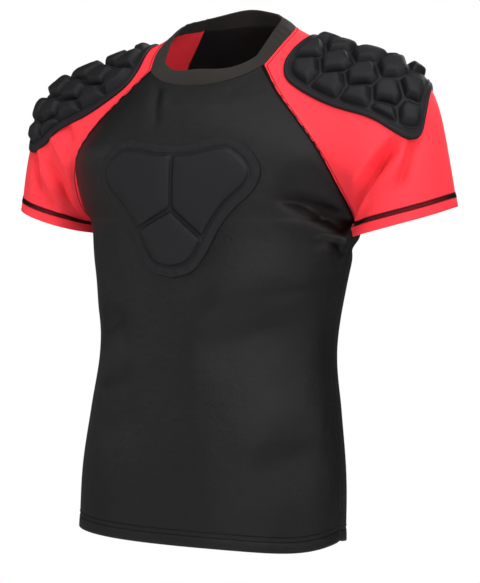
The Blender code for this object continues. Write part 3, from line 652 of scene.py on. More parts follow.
def body_points(half):
    """Rows from the hem to the neck."""
    places = steps(0, 1, SIDE_ROWS) + steps(1, 2, RAGLAN_ROWS)[1:]
    points = np.array([[half.point(p, a) for a in steps(-1, 1, ACROSS)] for p in places])
    return finer(finer(points, FINER, 0), FINER, 1)


def sleeve_points(cuff):
    """Rows from the sewn edge to the cuff, each a ring that starts and ends at the underarm."""
    around = steps(0, 1, RAGLAN_ROWS)
    around += steps(1, 2, NECK_EDGE_STEPS)[1:]
    around += steps(2, 3, RAGLAN_ROWS)[1:-1]
    grid = np.array([sleeve_column(place, SLEEVE_ROWS, cuff) for place in around])
    share = np.array([ease(min(place, 3 - place) / EASED_FROM) for place in around])[:, None, None]
    for _ in range(SLEEVE_EASING):
        beside = np.roll(grid, 1, axis=0) + np.roll(grid, -1, axis=0)
        mean = (beside[:, 1:-1] + grid[:, :-2] + grid[:, 2:]) / 4
        grid[:, 1:-1] += 0.5 * share * (mean - grid[:, 1:-1])
    rows = finer(finer(grid.transpose(1, 0, 2), FINER, 0), SLEEVE_FINER, 1, closed=True)
    return np.concatenate((rows, rows[:, :1]), axis=1)


# Folds, creases and puckers


def lengths(points, axis=0):
    """The distance of each point from the first along one axis."""
    first = np.take(points, [0], axis=axis)
    return np.cumsum(np.linalg.norm(np.diff(points, axis=axis, prepend=first), axis=-1), axis=axis)


def normals(points, closed):
    """Normals of a grid, on the left of its columns' way as seen from its rows' way."""
    around = np.gradient(points, axis=1)
    if closed:
        around[:, 0] = around[:, -1] = points[:, 1] - points[:, -2]
    found = np.cross(around, np.gradient(points, axis=0))
    return found / np.maximum(np.linalg.norm(found, axis=2, keepdims=True), 1e-12)


def trough(first, second, row):
    """How far each place is along a fold, and aside from it in half widths."""
    from_first, from_second, to_first, to_second, half_width, _, bow = row
    way = np.array((to_first - from_first, to_second - from_second))
    share = ((first - from_first) * way[0] + (second - from_second) * way[1]) / way.dot(way)
    aside = ((second - from_second) * way[0] - (first - from_first) * way[1]) / np.hypot(*way)
    return share, (aside - 4 * bow * share * (1 - share)) / half_width


def fold_heights(first, second, folds):
    """Soft troughs, each with a ridge on one side."""
    height = np.zeros(first.shape)
    for row in folds:
        share, aside = trough(first, second, row)
        ridge = RIDGE * np.exp(-(((aside - RIDGE_ASIDE) / RIDGE_WIDTH) ** 2))
        profile = ridge - np.exp(-(aside**2))
        height += row[5] * profile * eased(np.minimum(share, 1 - share) / FOLD_ENDS)
    return height


def crease_heights(first, second, creases):
    """Troughs or ridges that are steep on one side."""
    height = np.zeros(first.shape)
    for row in creases:
        share, aside = trough(first, second, row)
        steep = np.where(aside > 0, aside / CREASE_STEEPNESS, aside)
        ridge = CREASE_RIDGE * np.exp(-(((aside - CREASE_RIDGE_ASIDE) / CREASE_RIDGE_WIDTH) ** 2))
        profile = ridge - np.exp(-(steep**2))
        height += row[5] * profile * eased(np.minimum(share, 1 - share) / FOLD_ENDS)
    return height


def puckers(seam_length, from_seam, phase):
    """Small uneven waves along a seam that die out away from it."""
    turn = 2 * math.pi * seam_length
    wander = PUCKER_WANDER * np.sin(turn / PUCKER_WANDER_LENGTH + phase)
    wave = np.sin(turn / PUCKER_LENGTH + wander)
    swell = PUCKER_SWELL[0] + PUCKER_SWELL[1] * np.sin(turn / PUCKER_SWELL_LENGTH + 2 * phase)
    return PUCKER_HEIGHT * wave * swell * np.exp(-((from_seam / PUCKER_REACH) ** 2))


def hem_heights(from_edge, height):
    """The folded hem stands a little proud, with a dent where it is sewn down."""
    band = HEM_EXTRA * eased((height + HEM_STEP / 2 - from_edge) / HEM_STEP)
    return band - 0.5 * HEM_EXTRA * np.exp(-(((from_edge - height) / HEM_STEP) ** 2))


class Cloth:
    """One cut panel: the points of its outer face, its outward normals and its flat pattern."""

    def __init__(self, points, outward, flat, closed):
        self.points = points
        self.outward = outward
        self.flat = flat
        self.closed = closed

    def line(self, edge, distance, lift):
        """Points and normals at a distance in from an edge: first or last row, or left or right column."""
        points, outward = self.points, self.outward
        if edge in ("left", "right"):
            points, outward = points.transpose(1, 0, 2), outward.transpose(1, 0, 2)
        if edge in ("last", "right"):
            points, outward = points[::-1], outward[::-1]
        reach = lengths(points, 0)
        found = []
        for k in range(points.shape[1]):
            place = np.interp(distance, reach[:, k], np.arange(len(points)))
            first = min(int(place), len(points) - 2)
            part = place - first
            normal = mix(outward[first, k], outward[first + 1, k], part)
            found.append((mix(points[first, k], points[first + 1, k], part) + normal * lift, normal))
        return np.array([p for p, _ in found]), np.array([n for _, n in found])


def body_cloth(half, folds, creases, facing, lapped, phase):
    """The front or the back; facing is 1 if its columns run anticlockwise from above, else -1.

    Its raglan edges lie under the sleeves, and where it is lapped its side edges lie under the other half.
    """
    points = body_points(half)
    rows, columns = points.shape[:2]
    place = np.interp(np.arange(rows), (0, SIDE_ROWS * FINER, rows - 1), (0, 1, 2))
    beside = 1 - np.abs(np.linspace(-1, 1, columns))
    fade = eased((2 - place) / SEAM_FADE)[:, None] * eased(beside / SEAM_FADE)[None, :]
    across = lengths(points, 1)
    across = across - across[:, [columns // 2]]
    height = points[..., 2]
    up = lengths(points, 0)
    rise = fold_heights(across, height, folds) * fade
    form = points + facing * normals(points, False) * rise[..., None]
    rise += crease_heights(across, height, creases) * eased(fade * CREASE_FADE)
    above = (place > 1)[:, None]
    to_neck = (2 - place)[:, None]
    for side in (0, -1):
        seam = up[:, [side]] - up[SIDE_ROWS * FINER, side]
        from_seam = np.abs(across - across[:, [side]])
        lively = np.where(above, RAGLAN_PUCKERS[side], SIDE_PUCKERS) * eased(to_neck / PUCKER_NECK_FADE)
        rise += puckers(seam, from_seam, phase + side) * lively
    rise += hem_heights(up, HEM_HEIGHT)
    points = points + facing * normals(points, False) * rise[..., None]
    outward = facing * normals(points, False)
    open_vent = np.clip(1 - up[:, 0] / VENT_HEIGHT, 0, 1)
    tucked = eased((2 - place) / TUCK_NECK_FADE) * np.where(place > 1, 1.0, lapped) * (open_vent == 0)
    for side, beyond in ((0, 1), (-1, -2)):
        way = points[:, beyond] - points[:, side]
        way /= np.linalg.norm(way, axis=1, keepdims=True)
        points[:, side] += way * (VENT_HALF * open_vent - SEAM_LAP * tucked)[:, None]
        points[:, side] -= outward[:, side] * (SEAM_TUCK * tucked)[:, None]
    return Cloth(points, outward, np.stack((across, up), axis=2), False), form


def sleeve_cloth(folds, creases, cuff, phase):
    """A sleeve as on the left; its rows run down the arm, so its grid's normals point in."""
    points = sleeve_points(cuff)
    rows = len(points)
    down = lengths(points, 0)
    around = lengths(points, 1)
    above = down[-1:] - down
    outer = around[:, [points.shape[1] // 2]] - around
    fade = eased(np.linspace(0, 1, rows) / SEAM_FADE)[:, None]
    rise = fold_heights(outer, above, folds) * fade
    form = points - normals(points, True) * rise[..., None]
    rise += crease_heights(outer, above, creases) * fade
    rise += SLEEVE_PUCKERS * puckers(around[:1], down, phase)
    rise += hem_heights(above, CUFF_HEM_HEIGHT)
    points = points - normals(points, True) * rise[..., None]
    return Cloth(points, -normals(points, True), np.stack((outer, above), axis=2), True), form


def mirrored(cloth):
    """The same cloth on the other side of the body."""
    flip = np.array((-1, 1, 1))
    return Cloth(cloth.points * flip, cloth.outward * flip, cloth.flat, cloth.closed)


# Meshes


def linked(name, mesh, material):
    """A finished object at the origin, shaded smooth."""
    mesh.shade_smooth()
    mesh.materials.append(material)
    obj = bpy.data.objects.new(name, mesh)
    bpy.context.scene.collection.objects.link(obj)
    return obj


def object_of(name, bm, material):
    """The bmesh as a finished object."""
    mesh = bpy.data.meshes.new(name)
    bm.to_mesh(mesh)
    bm.free()
    return linked(name, mesh, material)


def grid_mesh(points, flat, closed):
    """A grid laid on rows of points, with its flat pattern as UV map in metres."""
    rows, columns = points.shape[:2]
    bm = bmesh.new()
    bmesh.ops.create_grid(bm, x_segments=columns - 1, y_segments=rows - 1, size=1)
    pattern = bm.loops.layers.uv.new("pattern")
    place = {}
    for v in bm.verts:
        i = round((v.co.y + 1) / 2 * (rows - 1))
        j = round((v.co.x + 1) / 2 * (columns - 1))
        place[v] = i, j
        v.co = points[i, j]
    for face in bm.faces:
        for loop in face.loops:
            loop[pattern].uv = flat[place[loop.vert]]
    if closed:
        bmesh.ops.remove_doubles(bm, verts=bm.verts, dist=1e-6)
    return bm


def cloth_object(name, cloth, thickness, material):
    """A panel of cloth with its wall behind the outer face."""
    bm = grid_mesh(cloth.points, cloth.flat, cloth.closed)
    bm.normal_update()
    face = next(iter(bm.faces))
    first = Vector(cloth.outward[0, 0])
    if face.normal.dot(first) < 0:
        bmesh.ops.reverse_faces(bm, faces=bm.faces)
    obj = object_of(name, bm, material)
    wall = obj.modifiers.new("wall", "SOLIDIFY")
    wall.thickness = thickness
    wall.offset = -1
    return obj


# Sewing


def stitch_object(name, matrices, material):
    """Stitches as one mesh: copies of a flat drop of thread, each placed by its matrix."""
    lying = Matrix.Rotation(RIGHT_ANGLE, 4, "Y")
    bm = bmesh.new()
    bmesh.ops.create_uvsphere(bm, u_segments=6, v_segments=4, radius=0.5, matrix=lying)
    bm.verts.index_update()
    drop = np.array([(*v.co, 1) for v in bm.verts])
    faces = [[v.index for v in f.verts] for f in bm.faces]
    bm.free()
    placed = np.einsum("kab,nb->kna", np.array(matrices), drop)[..., :3].reshape(-1, 3)
    starts = range(0, len(placed), len(drop))
    mesh = bpy.data.meshes.new(name)
    mesh.from_pydata(placed.tolist(), [], [[start + i for i in face] for start in starts for face in faces])
    return linked(name, mesh, material)


def stitch_matrix(start, end, normal, width, thickness):
    """Places a stitch from one point to another, flat on the cloth."""
    way = end - start
    length = np.linalg.norm(way)
    way = way / length
    aside = np.cross(normal, way)
    aside /= np.linalg.norm(aside)
    up = np.cross(way, aside)
    matrix = np.eye(4)
    matrix[:3, 0] = way * length
    matrix[:3, 1] = aside * width
    matrix[:3, 2] = up * thickness
    matrix[:3, 3] = (start + end) / 2
    return matrix


def spaced_line(points, outward, count):
    """The line again as points and normals at a number of equal steps."""
    reach = lengths(points)
    at = np.linspace(0, reach[-1], count + 1)
    places = np.stack([np.interp(at, reach, points[:, k]) for k in range(3)], axis=1)
    up = np.stack([np.interp(at, reach, outward[:, k]) for k in range(3)], axis=1)
    return places, up / np.linalg.norm(up, axis=1, keepdims=True)


def running_stitches(points, outward):
    """A row of separate stitches along a line."""
    places, up = spaced_line(points, outward, round(lengths(points)[-1] / STITCH_STEP))
    length, width, thickness = STITCH
    found = []
    for k in range(len(places) - 1):
        end = mix(places[k], places[k + 1], length / STITCH_STEP)
        found.append(stitch_matrix(places[k], end, up[k], width, thickness))
    return found


def cover_stitches(low, low_up, high, high_up):
    """A band of crossing threads between two lines, with a row of thread along each."""
    count = round(lengths(low)[-1] / COVER_STEP)
    below, below_up = spaced_line(low, low_up, count)
    above, above_up = spaced_line(high, high_up, count)
    found = []
    for k in range(count):
        up = below_up[k] + above_up[k]
        found.append(stitch_matrix(below[k], above[k + 1], up, THREAD, UNDER_THREAD * THREAD))
        found.append(stitch_matrix(above[k], below[k + 1], up, THREAD, OVER_THREAD * THREAD))
        if k % 2 == 0 and k + 2 <= count:
            for places, ups in ((below, below_up), (above, above_up)):
                end = mix(places[k + 1], places[k + 2], EDGE_LOOP)
                found.append(stitch_matrix(places[k], end, ups[k], THREAD, THREAD))
    return found


# Pads


def tree_of(*grids):
    """Grids of points as one surface to lay pads on."""
    points, faces = [], []
    for grid in grids:
        rows, columns = grid.shape[:2]
        corner = np.arange(rows - 1)[:, None] * columns + np.arange(columns - 1)[None, :] + len(points)
        faces += (corner.reshape(-1, 1) + np.array((0, 1, columns + 1, columns))).tolist()
        points += [Vector(p) for p in grid.reshape(-1, 3)]
    return BVHTree.FromPolygons(points, faces)


def walked(tree, starts, way):
    """Points where rays from the starts meet the cloth, each with its distance from the first."""
    walk = []
    for start in starts:
        hit, normal = tree.ray_cast(start, way(start))[:2]
        if hit is None:
            break
        walk.append((hit, walk[-1][1] + (hit - walk[-1][0]).length if walk else 0.0, normal))
    return walk


class Bed:
    """Cloth under a pad, as a table of points and normals over the pad's own two directions."""

    def __init__(self, first_range, half_width, sections):
        self.first = np.arange(first_range[0], first_range[1] + BED_STEP, BED_STEP)
        self.second = np.arange(-half_width, half_width + BED_STEP, BED_STEP)
        points = np.zeros((len(self.first), len(self.second), 3))
        for i, first in enumerate(self.first):
            for side in (-1, 1):
                walk = sections(first, side)
                reach = [distance for _, distance, _ in walk]
                mine = self.second * side >= 0
                for k in range(3):
                    values = [p[k] for p, _, _ in walk]
                    points[i, mine, k] = np.interp(self.second[mine] * side, reach, values)
        self.points = points
        self.outward = normals(points, False)
        for _ in range(BED_EASING):
            self.outward[1:-1, 1:-1] += self.outward[2:, 1:-1] + self.outward[:-2, 1:-1]
            self.outward[1:-1, 1:-1] += self.outward[1:-1, 2:] + self.outward[1:-1, :-2]
            self.outward /= np.linalg.norm(self.outward, axis=2, keepdims=True)

    def facing(self, way):
        """Turns the normals to the side that the way points to."""
        middle = self.outward[len(self.first) // 2, len(self.second) // 2]
        if middle.dot(np.array(way)) < 0:
            self.outward = -self.outward
        return self

    def at(self, first, second, height):
        """The point above the cloth at a place on the pad."""
        i = min(max((first - self.first[0]) / BED_STEP, 0), len(self.first) - 1.001)
        j = min(max((second - self.second[0]) / BED_STEP, 0), len(self.second) - 1.001)
        a, b = int(i), int(j)
        u, v = i - a, j - b
        weights = (1 - u) * (1 - v), u * (1 - v), (1 - u) * v, u * v
        corners = (a, b), (a + 1, b), (a, b + 1), (a + 1, b + 1)
        point = sum(w * self.points[c] for w, c in zip(weights, corners))
        normal = sum(w * self.outward[c] for w, c in zip(weights, corners))
        return point + normal / np.linalg.norm(normal) * height


def shoulder_bed(tree, droop):
    """The left shoulder: length from the collar, width to the front."""

    def section(share, side):
        lean = mix(*BONE_LEAN, share)
        centre = mix(BONE_START, BONE_END, share)
        over = Vector((math.sin(lean), 0, math.cos(lean)))
        down = Vector((math.cos(lean), 0, -math.sin(lean))) * droop * share
        starts = []
        for a in steps(0, PAD_WRAP, PAD_WRAP_STEPS):
            arm = over * math.cos(a) + FORWARD * side * math.sin(a) + down * (1 - math.cos(a))
            starts.append(centre + arm * RAY_START)
        return walked(tree, starts, lambda start: (centre - start).normalized())

    start = section(0, 1)[0][0]
    top = [(start, (start - sleeve_edge(1.5)[0]).length, 0.0)]
    for share in steps(0, BONE_REACH[1], BONE_STEPS[1])[1:]:
        p = section(share, 1)[0][0]
        top.append((p, top[-1][1] + (p - top[-1][0]).length, share))
    for share in steps(0, BONE_REACH[0], BONE_STEPS[0])[1:]:
        p = section(share, 1)[0][0]
        top.insert(0, (p, top[0][1] - (p - top[0][0]).length, share))
    known = [row[1] for row in top]
    shares = [row[2] for row in top]
    reach = PAD_OUTLINE[0][0], max(row[0] for row in PAD_OUTLINE)
    half_width = max(row[1] for row in PAD_OUTLINE) + BED_MARGIN

    def section_at(length, side):
        return section(float(np.interp(length, known, shares)), side)

    return Bed(reach, half_width, section_at).facing(UP)


def swung(bed, swing):
    """Places on the shoulder, with the pad swung back at its arm end."""
    start, end = PAD_OUTLINE[0][0], PAD_OUTLINE[-1][0]

    def place(first, second, height):
        return bed.at(first, second - swing * (first - start) / (end - start), height)

    return place


def chest_bed(tree):
    """The front: level above the fork, width from the middle."""

    def section(level, side):
        height = level + CHEST_FORK_HEIGHT
        reach = steps(0, CHEST_REACH, CHEST_SECTION_STEPS)
        starts = [Vector((side * across, CHEST_RAY_START, height)) for across in reach]
        return walked(tree, starts, lambda start: -FORWARD)

    reach = CHEST_OUTLINE[0][0], max(row[0] for row in CHEST_OUTLINE)
    half_width = max(row[1] for row in CHEST_OUTLINE)
    return Bed(reach, half_width, section).facing(FORWARD)


def whole_outline(first_half, second_half, count):
    """The smooth closed outline whose two halves are given, anticlockwise."""
    shares = steps(0, 1, count)
    first, second = ([along(rows, share) for share in shares] for rows in (first_half, second_half))
    return [Vector((p[0], -p[1])) for p in second[:-1]] + [Vector((p[0], p[1])) for p in first[:0:-1]]


def moved_in(outline, distance):
    """A smooth outline moved in by the distance, point by point."""
    points = []
    for i, p in enumerate(outline):
        way = (outline[(i + 1) % len(outline)] - outline[i - 1]).normalized()
        points.append(p + Vector((-way.y, way.x)) * distance)
    return points


def nearby_sides(outline, centre, reach):
    """The outline's sides within reach of the centre: a point on each and its inward way."""
    sides = []
    for p, q in zip(outline, outline[1:] + outline[:1]):
        if (mix(p, q, 0.5) - centre).length < reach:
            way = (q - p).normalized()
            sides.append((p, Vector((-way.y, way.x))))
    return sides


def clipped(polygon, sides):
    """The part of a convex polygon on the inner side of every line."""
    for point, inward in sides:
        kept = []
        for p, q in zip(polygon, polygon[1:] + polygon[:1]):
            a, b = (p - point).dot(inward), (q - point).dot(inward)
            if a >= 0:
                kept.append(p)
            if (a < 0) != (b < 0):
                kept.append(mix(p, q, a / (a - b)))
        polygon = kept
        if len(polygon) < 3:
            return []
    return polygon


def spaced(polygon, step):
    """The polygon again as points about a step apart."""
    walk = [(polygon[0], 0.0)]
    for p in polygon[1:] + polygon[:1]:
        walk.append((p, walk[-1][1] + (p - walk[-1][0]).length))
    count = max(8, round(walk[-1][1] / step))
    return [at_distance(walk, walk[-1][1] * k / count) for k in range(count)]


def rounded(polygon, corner, step):
    """The polygon as points about a step apart, with its corners rounded off."""
    even = spaced(polygon, step / 2)
    count = len(even)
    passes = max(1, round((corner / step) ** 2 * 2))
    for _ in range(passes):
        even = [(even[k - 1] + 2 * even[k] + even[(k + 1) % count]) / 4 for k in range(count)]
    return spaced(even, step)


def narrowest(polygon):
    """The distance from the polygon's middle to its nearest side."""
    middle = sum(polygon, Vector((0, 0))) / len(polygon)
    found = []
    for p, q in zip(polygon, polygon[1:] + polygon[:1]):
        way = (q - p).normalized()
        found.append((middle - p).dot(Vector((-way.y, way.x))))
    return min(found)


def area(polygon):
    return sum(p.x * q.y - q.x * p.y for p, q in zip(polygon, polygon[1:] + polygon[:1])) / 2


def hexagon_cells(outline):
    """Foam cells, each up to halfway to its neighbours, cut off at the pad's border."""
    inner = moved_in(outline, PAD_BORDER)
    cells = []
    for centre in CELL_MIDDLES:
        corners = (-1, -1), (1, -1), (1, 1), (-1, 1)
        square = [centre + Vector(corner) * CELL_REACH for corner in corners]
        ways = [other - centre for other in CELL_MIDDLES if other != centre]
        sides = [(centre + way / 2 - way.normalized() * CELL_CHANNEL / 2, -way) for way in ways]
        nearest = min(inner, key=lambda p: (p - centre).length)
        cell = clipped(square, sides + nearby_sides(inner, nearest, CELL_REACH / 2))
        cell = rounded(cell, CELL_CORNER, CELL_STEP) if len(cell) > 2 else []
        if cell and area(cell) > SMALLEST_CELL and narrowest(cell) > NARROWEST_CELL:
            cells.append(cell)
    return cells


def chest_cells(outline):
    """Three foam blocks, parted by a channel that runs down from the top and forks."""
    inner = moved_in(outline, CHEST_BORDER)
    gap = CHEST_CHANNEL / 2
    cells = []
    below = []
    for side, arm in zip((-1, 1), CHEST_ARMS):
        above = Vector((math.cos(arm), side * math.sin(arm)))
        below.append(-above)
        beside = Vector((0, side))
        block = clipped(inner, [(above * gap, above), (beside * gap, beside)])
        cells.append(rounded(block, CHEST_CORNER, CELL_STEP))
    block = clipped(inner, [(way * gap, way) for way in below])
    cells.append(rounded(block, CHEST_CORNER, CELL_STEP))
    return cells


def inside_points(outline, step, clear):
    """Points of a triangular lattice inside an outline, clear of its points by a distance."""
    ring = np.array(outline)
    following = np.roll(ring, -1, axis=0) - np.roll(ring, 1, axis=0)
    inward = np.stack((-following[:, 1], following[:, 0]), axis=1)
    inward /= np.linalg.norm(inward, axis=1, keepdims=True)
    low, high = ring.min(axis=0), ring.max(axis=0)
    points = []
    for i in range(int((high[0] - low[0]) / step) + 2):
        for j in range(int((high[1] - low[1]) / step) + 2):
            p = low + np.array((i + 0.5 * (j % 2), j)) * step
            nearest = np.argmin(((ring - p) ** 2).sum(axis=1))
            if (p - ring[nearest]).dot(inward[nearest]) > clear:
                points.append(Vector(p))
    return points


def clear_of(points, loops, distance):
    """The points that no loop holds or comes near."""
    kept = []
    rings = [np.array(loop) for loop in loops]
    for p in points:
        place = np.array(p)
        for ring in rings:
            gaps = ((ring - place) ** 2).sum(axis=1)
            nearest = int(np.argmin(gaps))
            following = ring[(nearest + 1) % len(ring)] - ring[nearest - 1]
            outside = (place - ring[nearest]).dot((following[1], -following[0]))
            if gaps[nearest] < distance**2 or outside < 0 and gaps[nearest] < CELL_NEAR**2:
                break
        else:
            kept.append(p)
    return kept


def filled(bm, loop, points, height, holes=()):
    """Fills a flat loop of vertices with triangles through the points, but for the holes."""
    loops = [loop, *holes]
    corners = [v for each in loops for v in each]
    ends = [sum(len(each) for each in loops[:k]) for k in range(len(loops) + 1)]
    faces = [list(range(a, b)) for a, b in zip(ends, ends[1:])]
    edges = [(face[k - 1], face[k]) for face in faces for k in range(len(face))]
    places = [v.co.xy for v in corners] + list(points)
    found, _, triangles, origin, _, owners = delaunay_2d_cdt(places, edges, faces, 1, 1e-7)
    verts = []
    for p, olds in zip(found, origin):
        known = [corners[old] for old in olds if old < len(corners)]
        verts.append(known[0] if known else bm.verts.new((p.x, p.y, height)))
    for triangle, owner in zip(triangles, owners):
        if all(k == 0 for k in owner):
            bm.faces.new([verts[k] for k in triangle])


def dome(bm, loop, base, height, round_width, crown):
    """A foam block on its base loop: the face is extruded and drawn in, step by step, into a dome."""
    face = bm.faces.new(loop)
    polygon = [v.co.xy for v in loop]
    middle = sum(polygon, Vector((0, 0))) / len(polygon)
    half = narrowest(polygon)
    size = min(1.0, half / WHOLE_CELL)
    reach = min(round_width * size, WIDEST_DOME_EDGE * half)
    drawn = [share * reach / half for share in DOME_EDGE] + [mix(reach / half, 1.0, k) for k in DOME_TOP]
    scale = 1.0
    for share in drawn:
        part = min(share * half / reach, 1.0)
        rise = height * size**0.5 * (1 - (1 - part) ** DOME_ROUNDNESS)
        rise += crown * size * (1 - (1 - share) ** 2)
        face = bmesh.ops.extrude_discrete_faces(bm, faces=[face])["faces"][0]
        factor = (1 - share) / scale
        scale = 1 - share
        for v in face.verts:
            v.co.xy = mix(middle, v.co.xy, factor)
            v.co.z = base + rise
    bmesh.ops.poke(bm, faces=[face])


def border_rings(bm, outline, profile):
    """The border's rings, each extruded from the one before, from the edge in."""
    edge = [bm.verts.new((p.x, p.y, 0)) for p in outline]
    sides = [bm.edges.new((edge[k - 1], edge[k])) for k in range(len(edge))]
    rings = [edge]
    for distance, height in profile:
        made = bmesh.ops.extrude_edge_only(bm, edges=sides)["geom"]
        new_verts = {v for v in made if isinstance(v, bmesh.types.BMVert)}
        ring = []
        for v, p in zip(rings[-1], moved_in(outline, distance)):
            above = next(e.other_vert(v) for e in v.link_edges if e.other_vert(v) in new_verts)
            above.co = p.x, p.y, height
            ring.append(above)
        sides = [bm.edges.get((ring[k - 1], ring[k])) for k in range(len(ring))]
        rings.append(ring)
    return rings


def wave_border(rings):
    """Small uneven waves round a sewn border."""
    count = len(rings[0])
    for depth, ring in enumerate(rings[1:], 1):
        height = BORDER_WAVE * math.sin(math.pi * depth / len(rings))
        for k, v in enumerate(ring):
            turn = 2 * math.pi * k / count
            wave = math.sin(BORDER_WAVES * turn + BORDER_WANDER * math.sin(BORDER_WANDERS * turn))
            swell = BORDER_SWELL[0] + BORDER_SWELL[1] * math.sin(BORDER_SWELLS * turn + BORDER_SWELL_START)
            v.co.z += height * wave * swell


def pad_object(name, outline, cells, profile, block, place, side, material, waved=False):
    """A pad: a border that rises by the profile, foam blocks, and a back that lies on the cloth."""
    bm = bmesh.new()
    rings = border_rings(bm, outline, profile)
    base = profile[-1][1]
    inner = [v.co.xy for v in rings[-1]]
    loops = [[bm.verts.new((p.x, p.y, base)) for p in cell] for cell in cells]
    lattice = inside_points(inner, CHANNEL_STEP, CHANNEL_CLEAR * CHANNEL_STEP)
    lattice = clear_of(lattice, cells, CELL_CLEAR * CHANNEL_STEP)
    filled(bm, rings[-1], lattice, base, loops)
    for loop in loops:
        dome(bm, loop, base, *block)
    filled(bm, rings[0], inside_points(outline, BACK_STEP, BACK_CLEAR * BACK_STEP), 0)
    pattern = bm.loops.layers.uv.new("pattern")
    for face in bm.faces:
        for loop in face.loops:
            loop[pattern].uv = loop.vert.co.xy
    if waved:
        wave_border(rings)
    for v in bm.verts:
        v.co = place(v.co.x, v.co.y, v.co.z + PAD_SEAT)
        v.co.x *= side
    bmesh.ops.recalc_face_normals(bm, faces=bm.faces)
    return object_of(name, bm, material)


# Materials


def node(tree, kind, place, **values):
    made = tree.nodes.new(kind)
    made.location = place
    for name, value in values.items():
        setattr(made, name, value)
    return made


def maths(tree, operation, place, first, second=None, third=None):
    """A Math node whose inputs are numbers or other nodes' outputs."""
    made = node(tree, "ShaderNodeMath", place, operation=operation)
    for socket, value in zip(made.inputs, (first, second, third)):
        if value is None:
            continue
        if isinstance(value, (int, float)):
            socket.default_value = value
        else:
            tree.links.new(value, socket)
    return made.outputs[0]


def new_group(name, inputs, outputs):
    """An empty node group with its named sockets."""
    group = bpy.data.node_groups.new(name, "ShaderNodeTree")
    for label, kind, value in inputs:
        socket = group.interface.new_socket(label, in_out="INPUT", socket_type=kind)
        if value is not None:
            socket.default_value = value
    for label, kind in outputs:
        group.interface.new_socket(label, in_out="OUTPUT", socket_type=kind)
    start = node(group, "NodeGroupInput", (-1200, 0))
    end = node(group, "NodeGroupOutput", (800, 0))
    return group, start.outputs, end.inputs


def knit_group():
    """Columns of small V-shaped loops on a flat pattern in metres, and a mask for painted shade in the
    hollows between them.
    """
    group, given, out = new_group(
        "Jersey loops",
        (
            ("Pattern", "NodeSocketVector", None),
            ("Wale", "NodeSocketFloat", 0.0011),
            ("Course", "NodeSocketFloat", 0.0009),
        ),
        (("Height", "NodeSocketFloat"), ("Painted shade", "NodeSocketFloat")),
    )
    parts = node(group, "ShaderNodeSeparateXYZ", (-1000, 0))
    group.links.new(given["Pattern"], parts.inputs[0])
    wale = maths(group, "DIVIDE", (-820, 120), parts.outputs["X"], given["Wale"])
    course = maths(group, "DIVIDE", (-820, -80), parts.outputs["Y"], given["Course"])
    in_wale = maths(group, "FRACT", (-640, 260), wale)
    aside = maths(group, "SUBTRACT", (-640, 120), in_wale, 0.5)
    aside = maths(group, "ABSOLUTE", (-460, 120), aside)
    leg = maths(group, "MULTIPLY", (-280, 120), aside, 2 * math.pi)
    leg = maths(group, "SINE", (-100, 120), leg)
    slanted = maths(group, "MULTIPLY_ADD", (-280, -80), aside, 1.3, course)
    loop = maths(group, "MULTIPLY", (-100, -80), slanted, 2 * math.pi)
    loop = maths(group, "SINE", (80, -80), loop)
    level = maths(group, "MULTIPLY_ADD", (260, -80), loop, 0.35, 0.65)
    height = maths(group, "MULTIPLY", (440, 60), leg, level)
    # painted shade: a mask that is highest in the hollows between the loops
    painted_loop_shade = maths(group, "SUBTRACT", (620, -100), 1.0, height)
    group.links.new(height, out["Height"])
    group.links.new(painted_loop_shade, out["Painted shade"])
    return group


def shade_group():
    """Soft unevenness of dye and wear, from large patches down to single fibres."""
    group, given, out = new_group(
        "Uneven dye",
        (
            ("Place", "NodeSocketVector", None),
            ("Colour", "NodeSocketColor", (0.5, 0.5, 0.5, 1)),
            ("Patches", "NodeSocketFloat", 0.12),
            ("Fibres", "NodeSocketFloat", 0.10),
            ("Roughness", "NodeSocketFloat", 0.6),
        ),
        (("Colour", "NodeSocketColor"), ("Roughness", "NodeSocketFloat")),
    )
    patches = node(group, "ShaderNodeTexNoise", (-900, 200))
    patches.inputs["Scale"].default_value = 9.0
    patches.inputs["Detail"].default_value = 3.0
    fibres = node(group, "ShaderNodeTexNoise", (-900, -100))
    fibres.inputs["Scale"].default_value = 620.0
    fibres.inputs["Detail"].default_value = 2.0
    for texture in (patches, fibres):
        group.links.new(given["Place"], texture.inputs["Vector"])
    large = maths(group, "SUBTRACT", (-680, 200), patches.outputs["Fac"], 0.5)
    large = maths(group, "MULTIPLY", (-500, 200), large, given["Patches"])
    small = maths(group, "SUBTRACT", (-680, -100), fibres.outputs["Fac"], 0.5)
    small = maths(group, "MULTIPLY", (-500, -100), small, given["Fibres"])
    change = maths(group, "ADD", (-320, 60), large, small)
    factor = maths(group, "MULTIPLY_ADD", (-140, 60), change, 2.0, 1.0)
    tinted = node(group, "ShaderNodeVectorMath", (60, 120), operation="SCALE")
    group.links.new(given["Colour"], tinted.inputs[0])
    group.links.new(factor, tinted.inputs["Scale"])
    group.links.new(tinted.outputs[0], out["Colour"])
    roughness = maths(group, "MULTIPLY_ADD", (260, -120), change, -0.5, given["Roughness"])
    group.links.new(roughness, out["Roughness"])
    return group


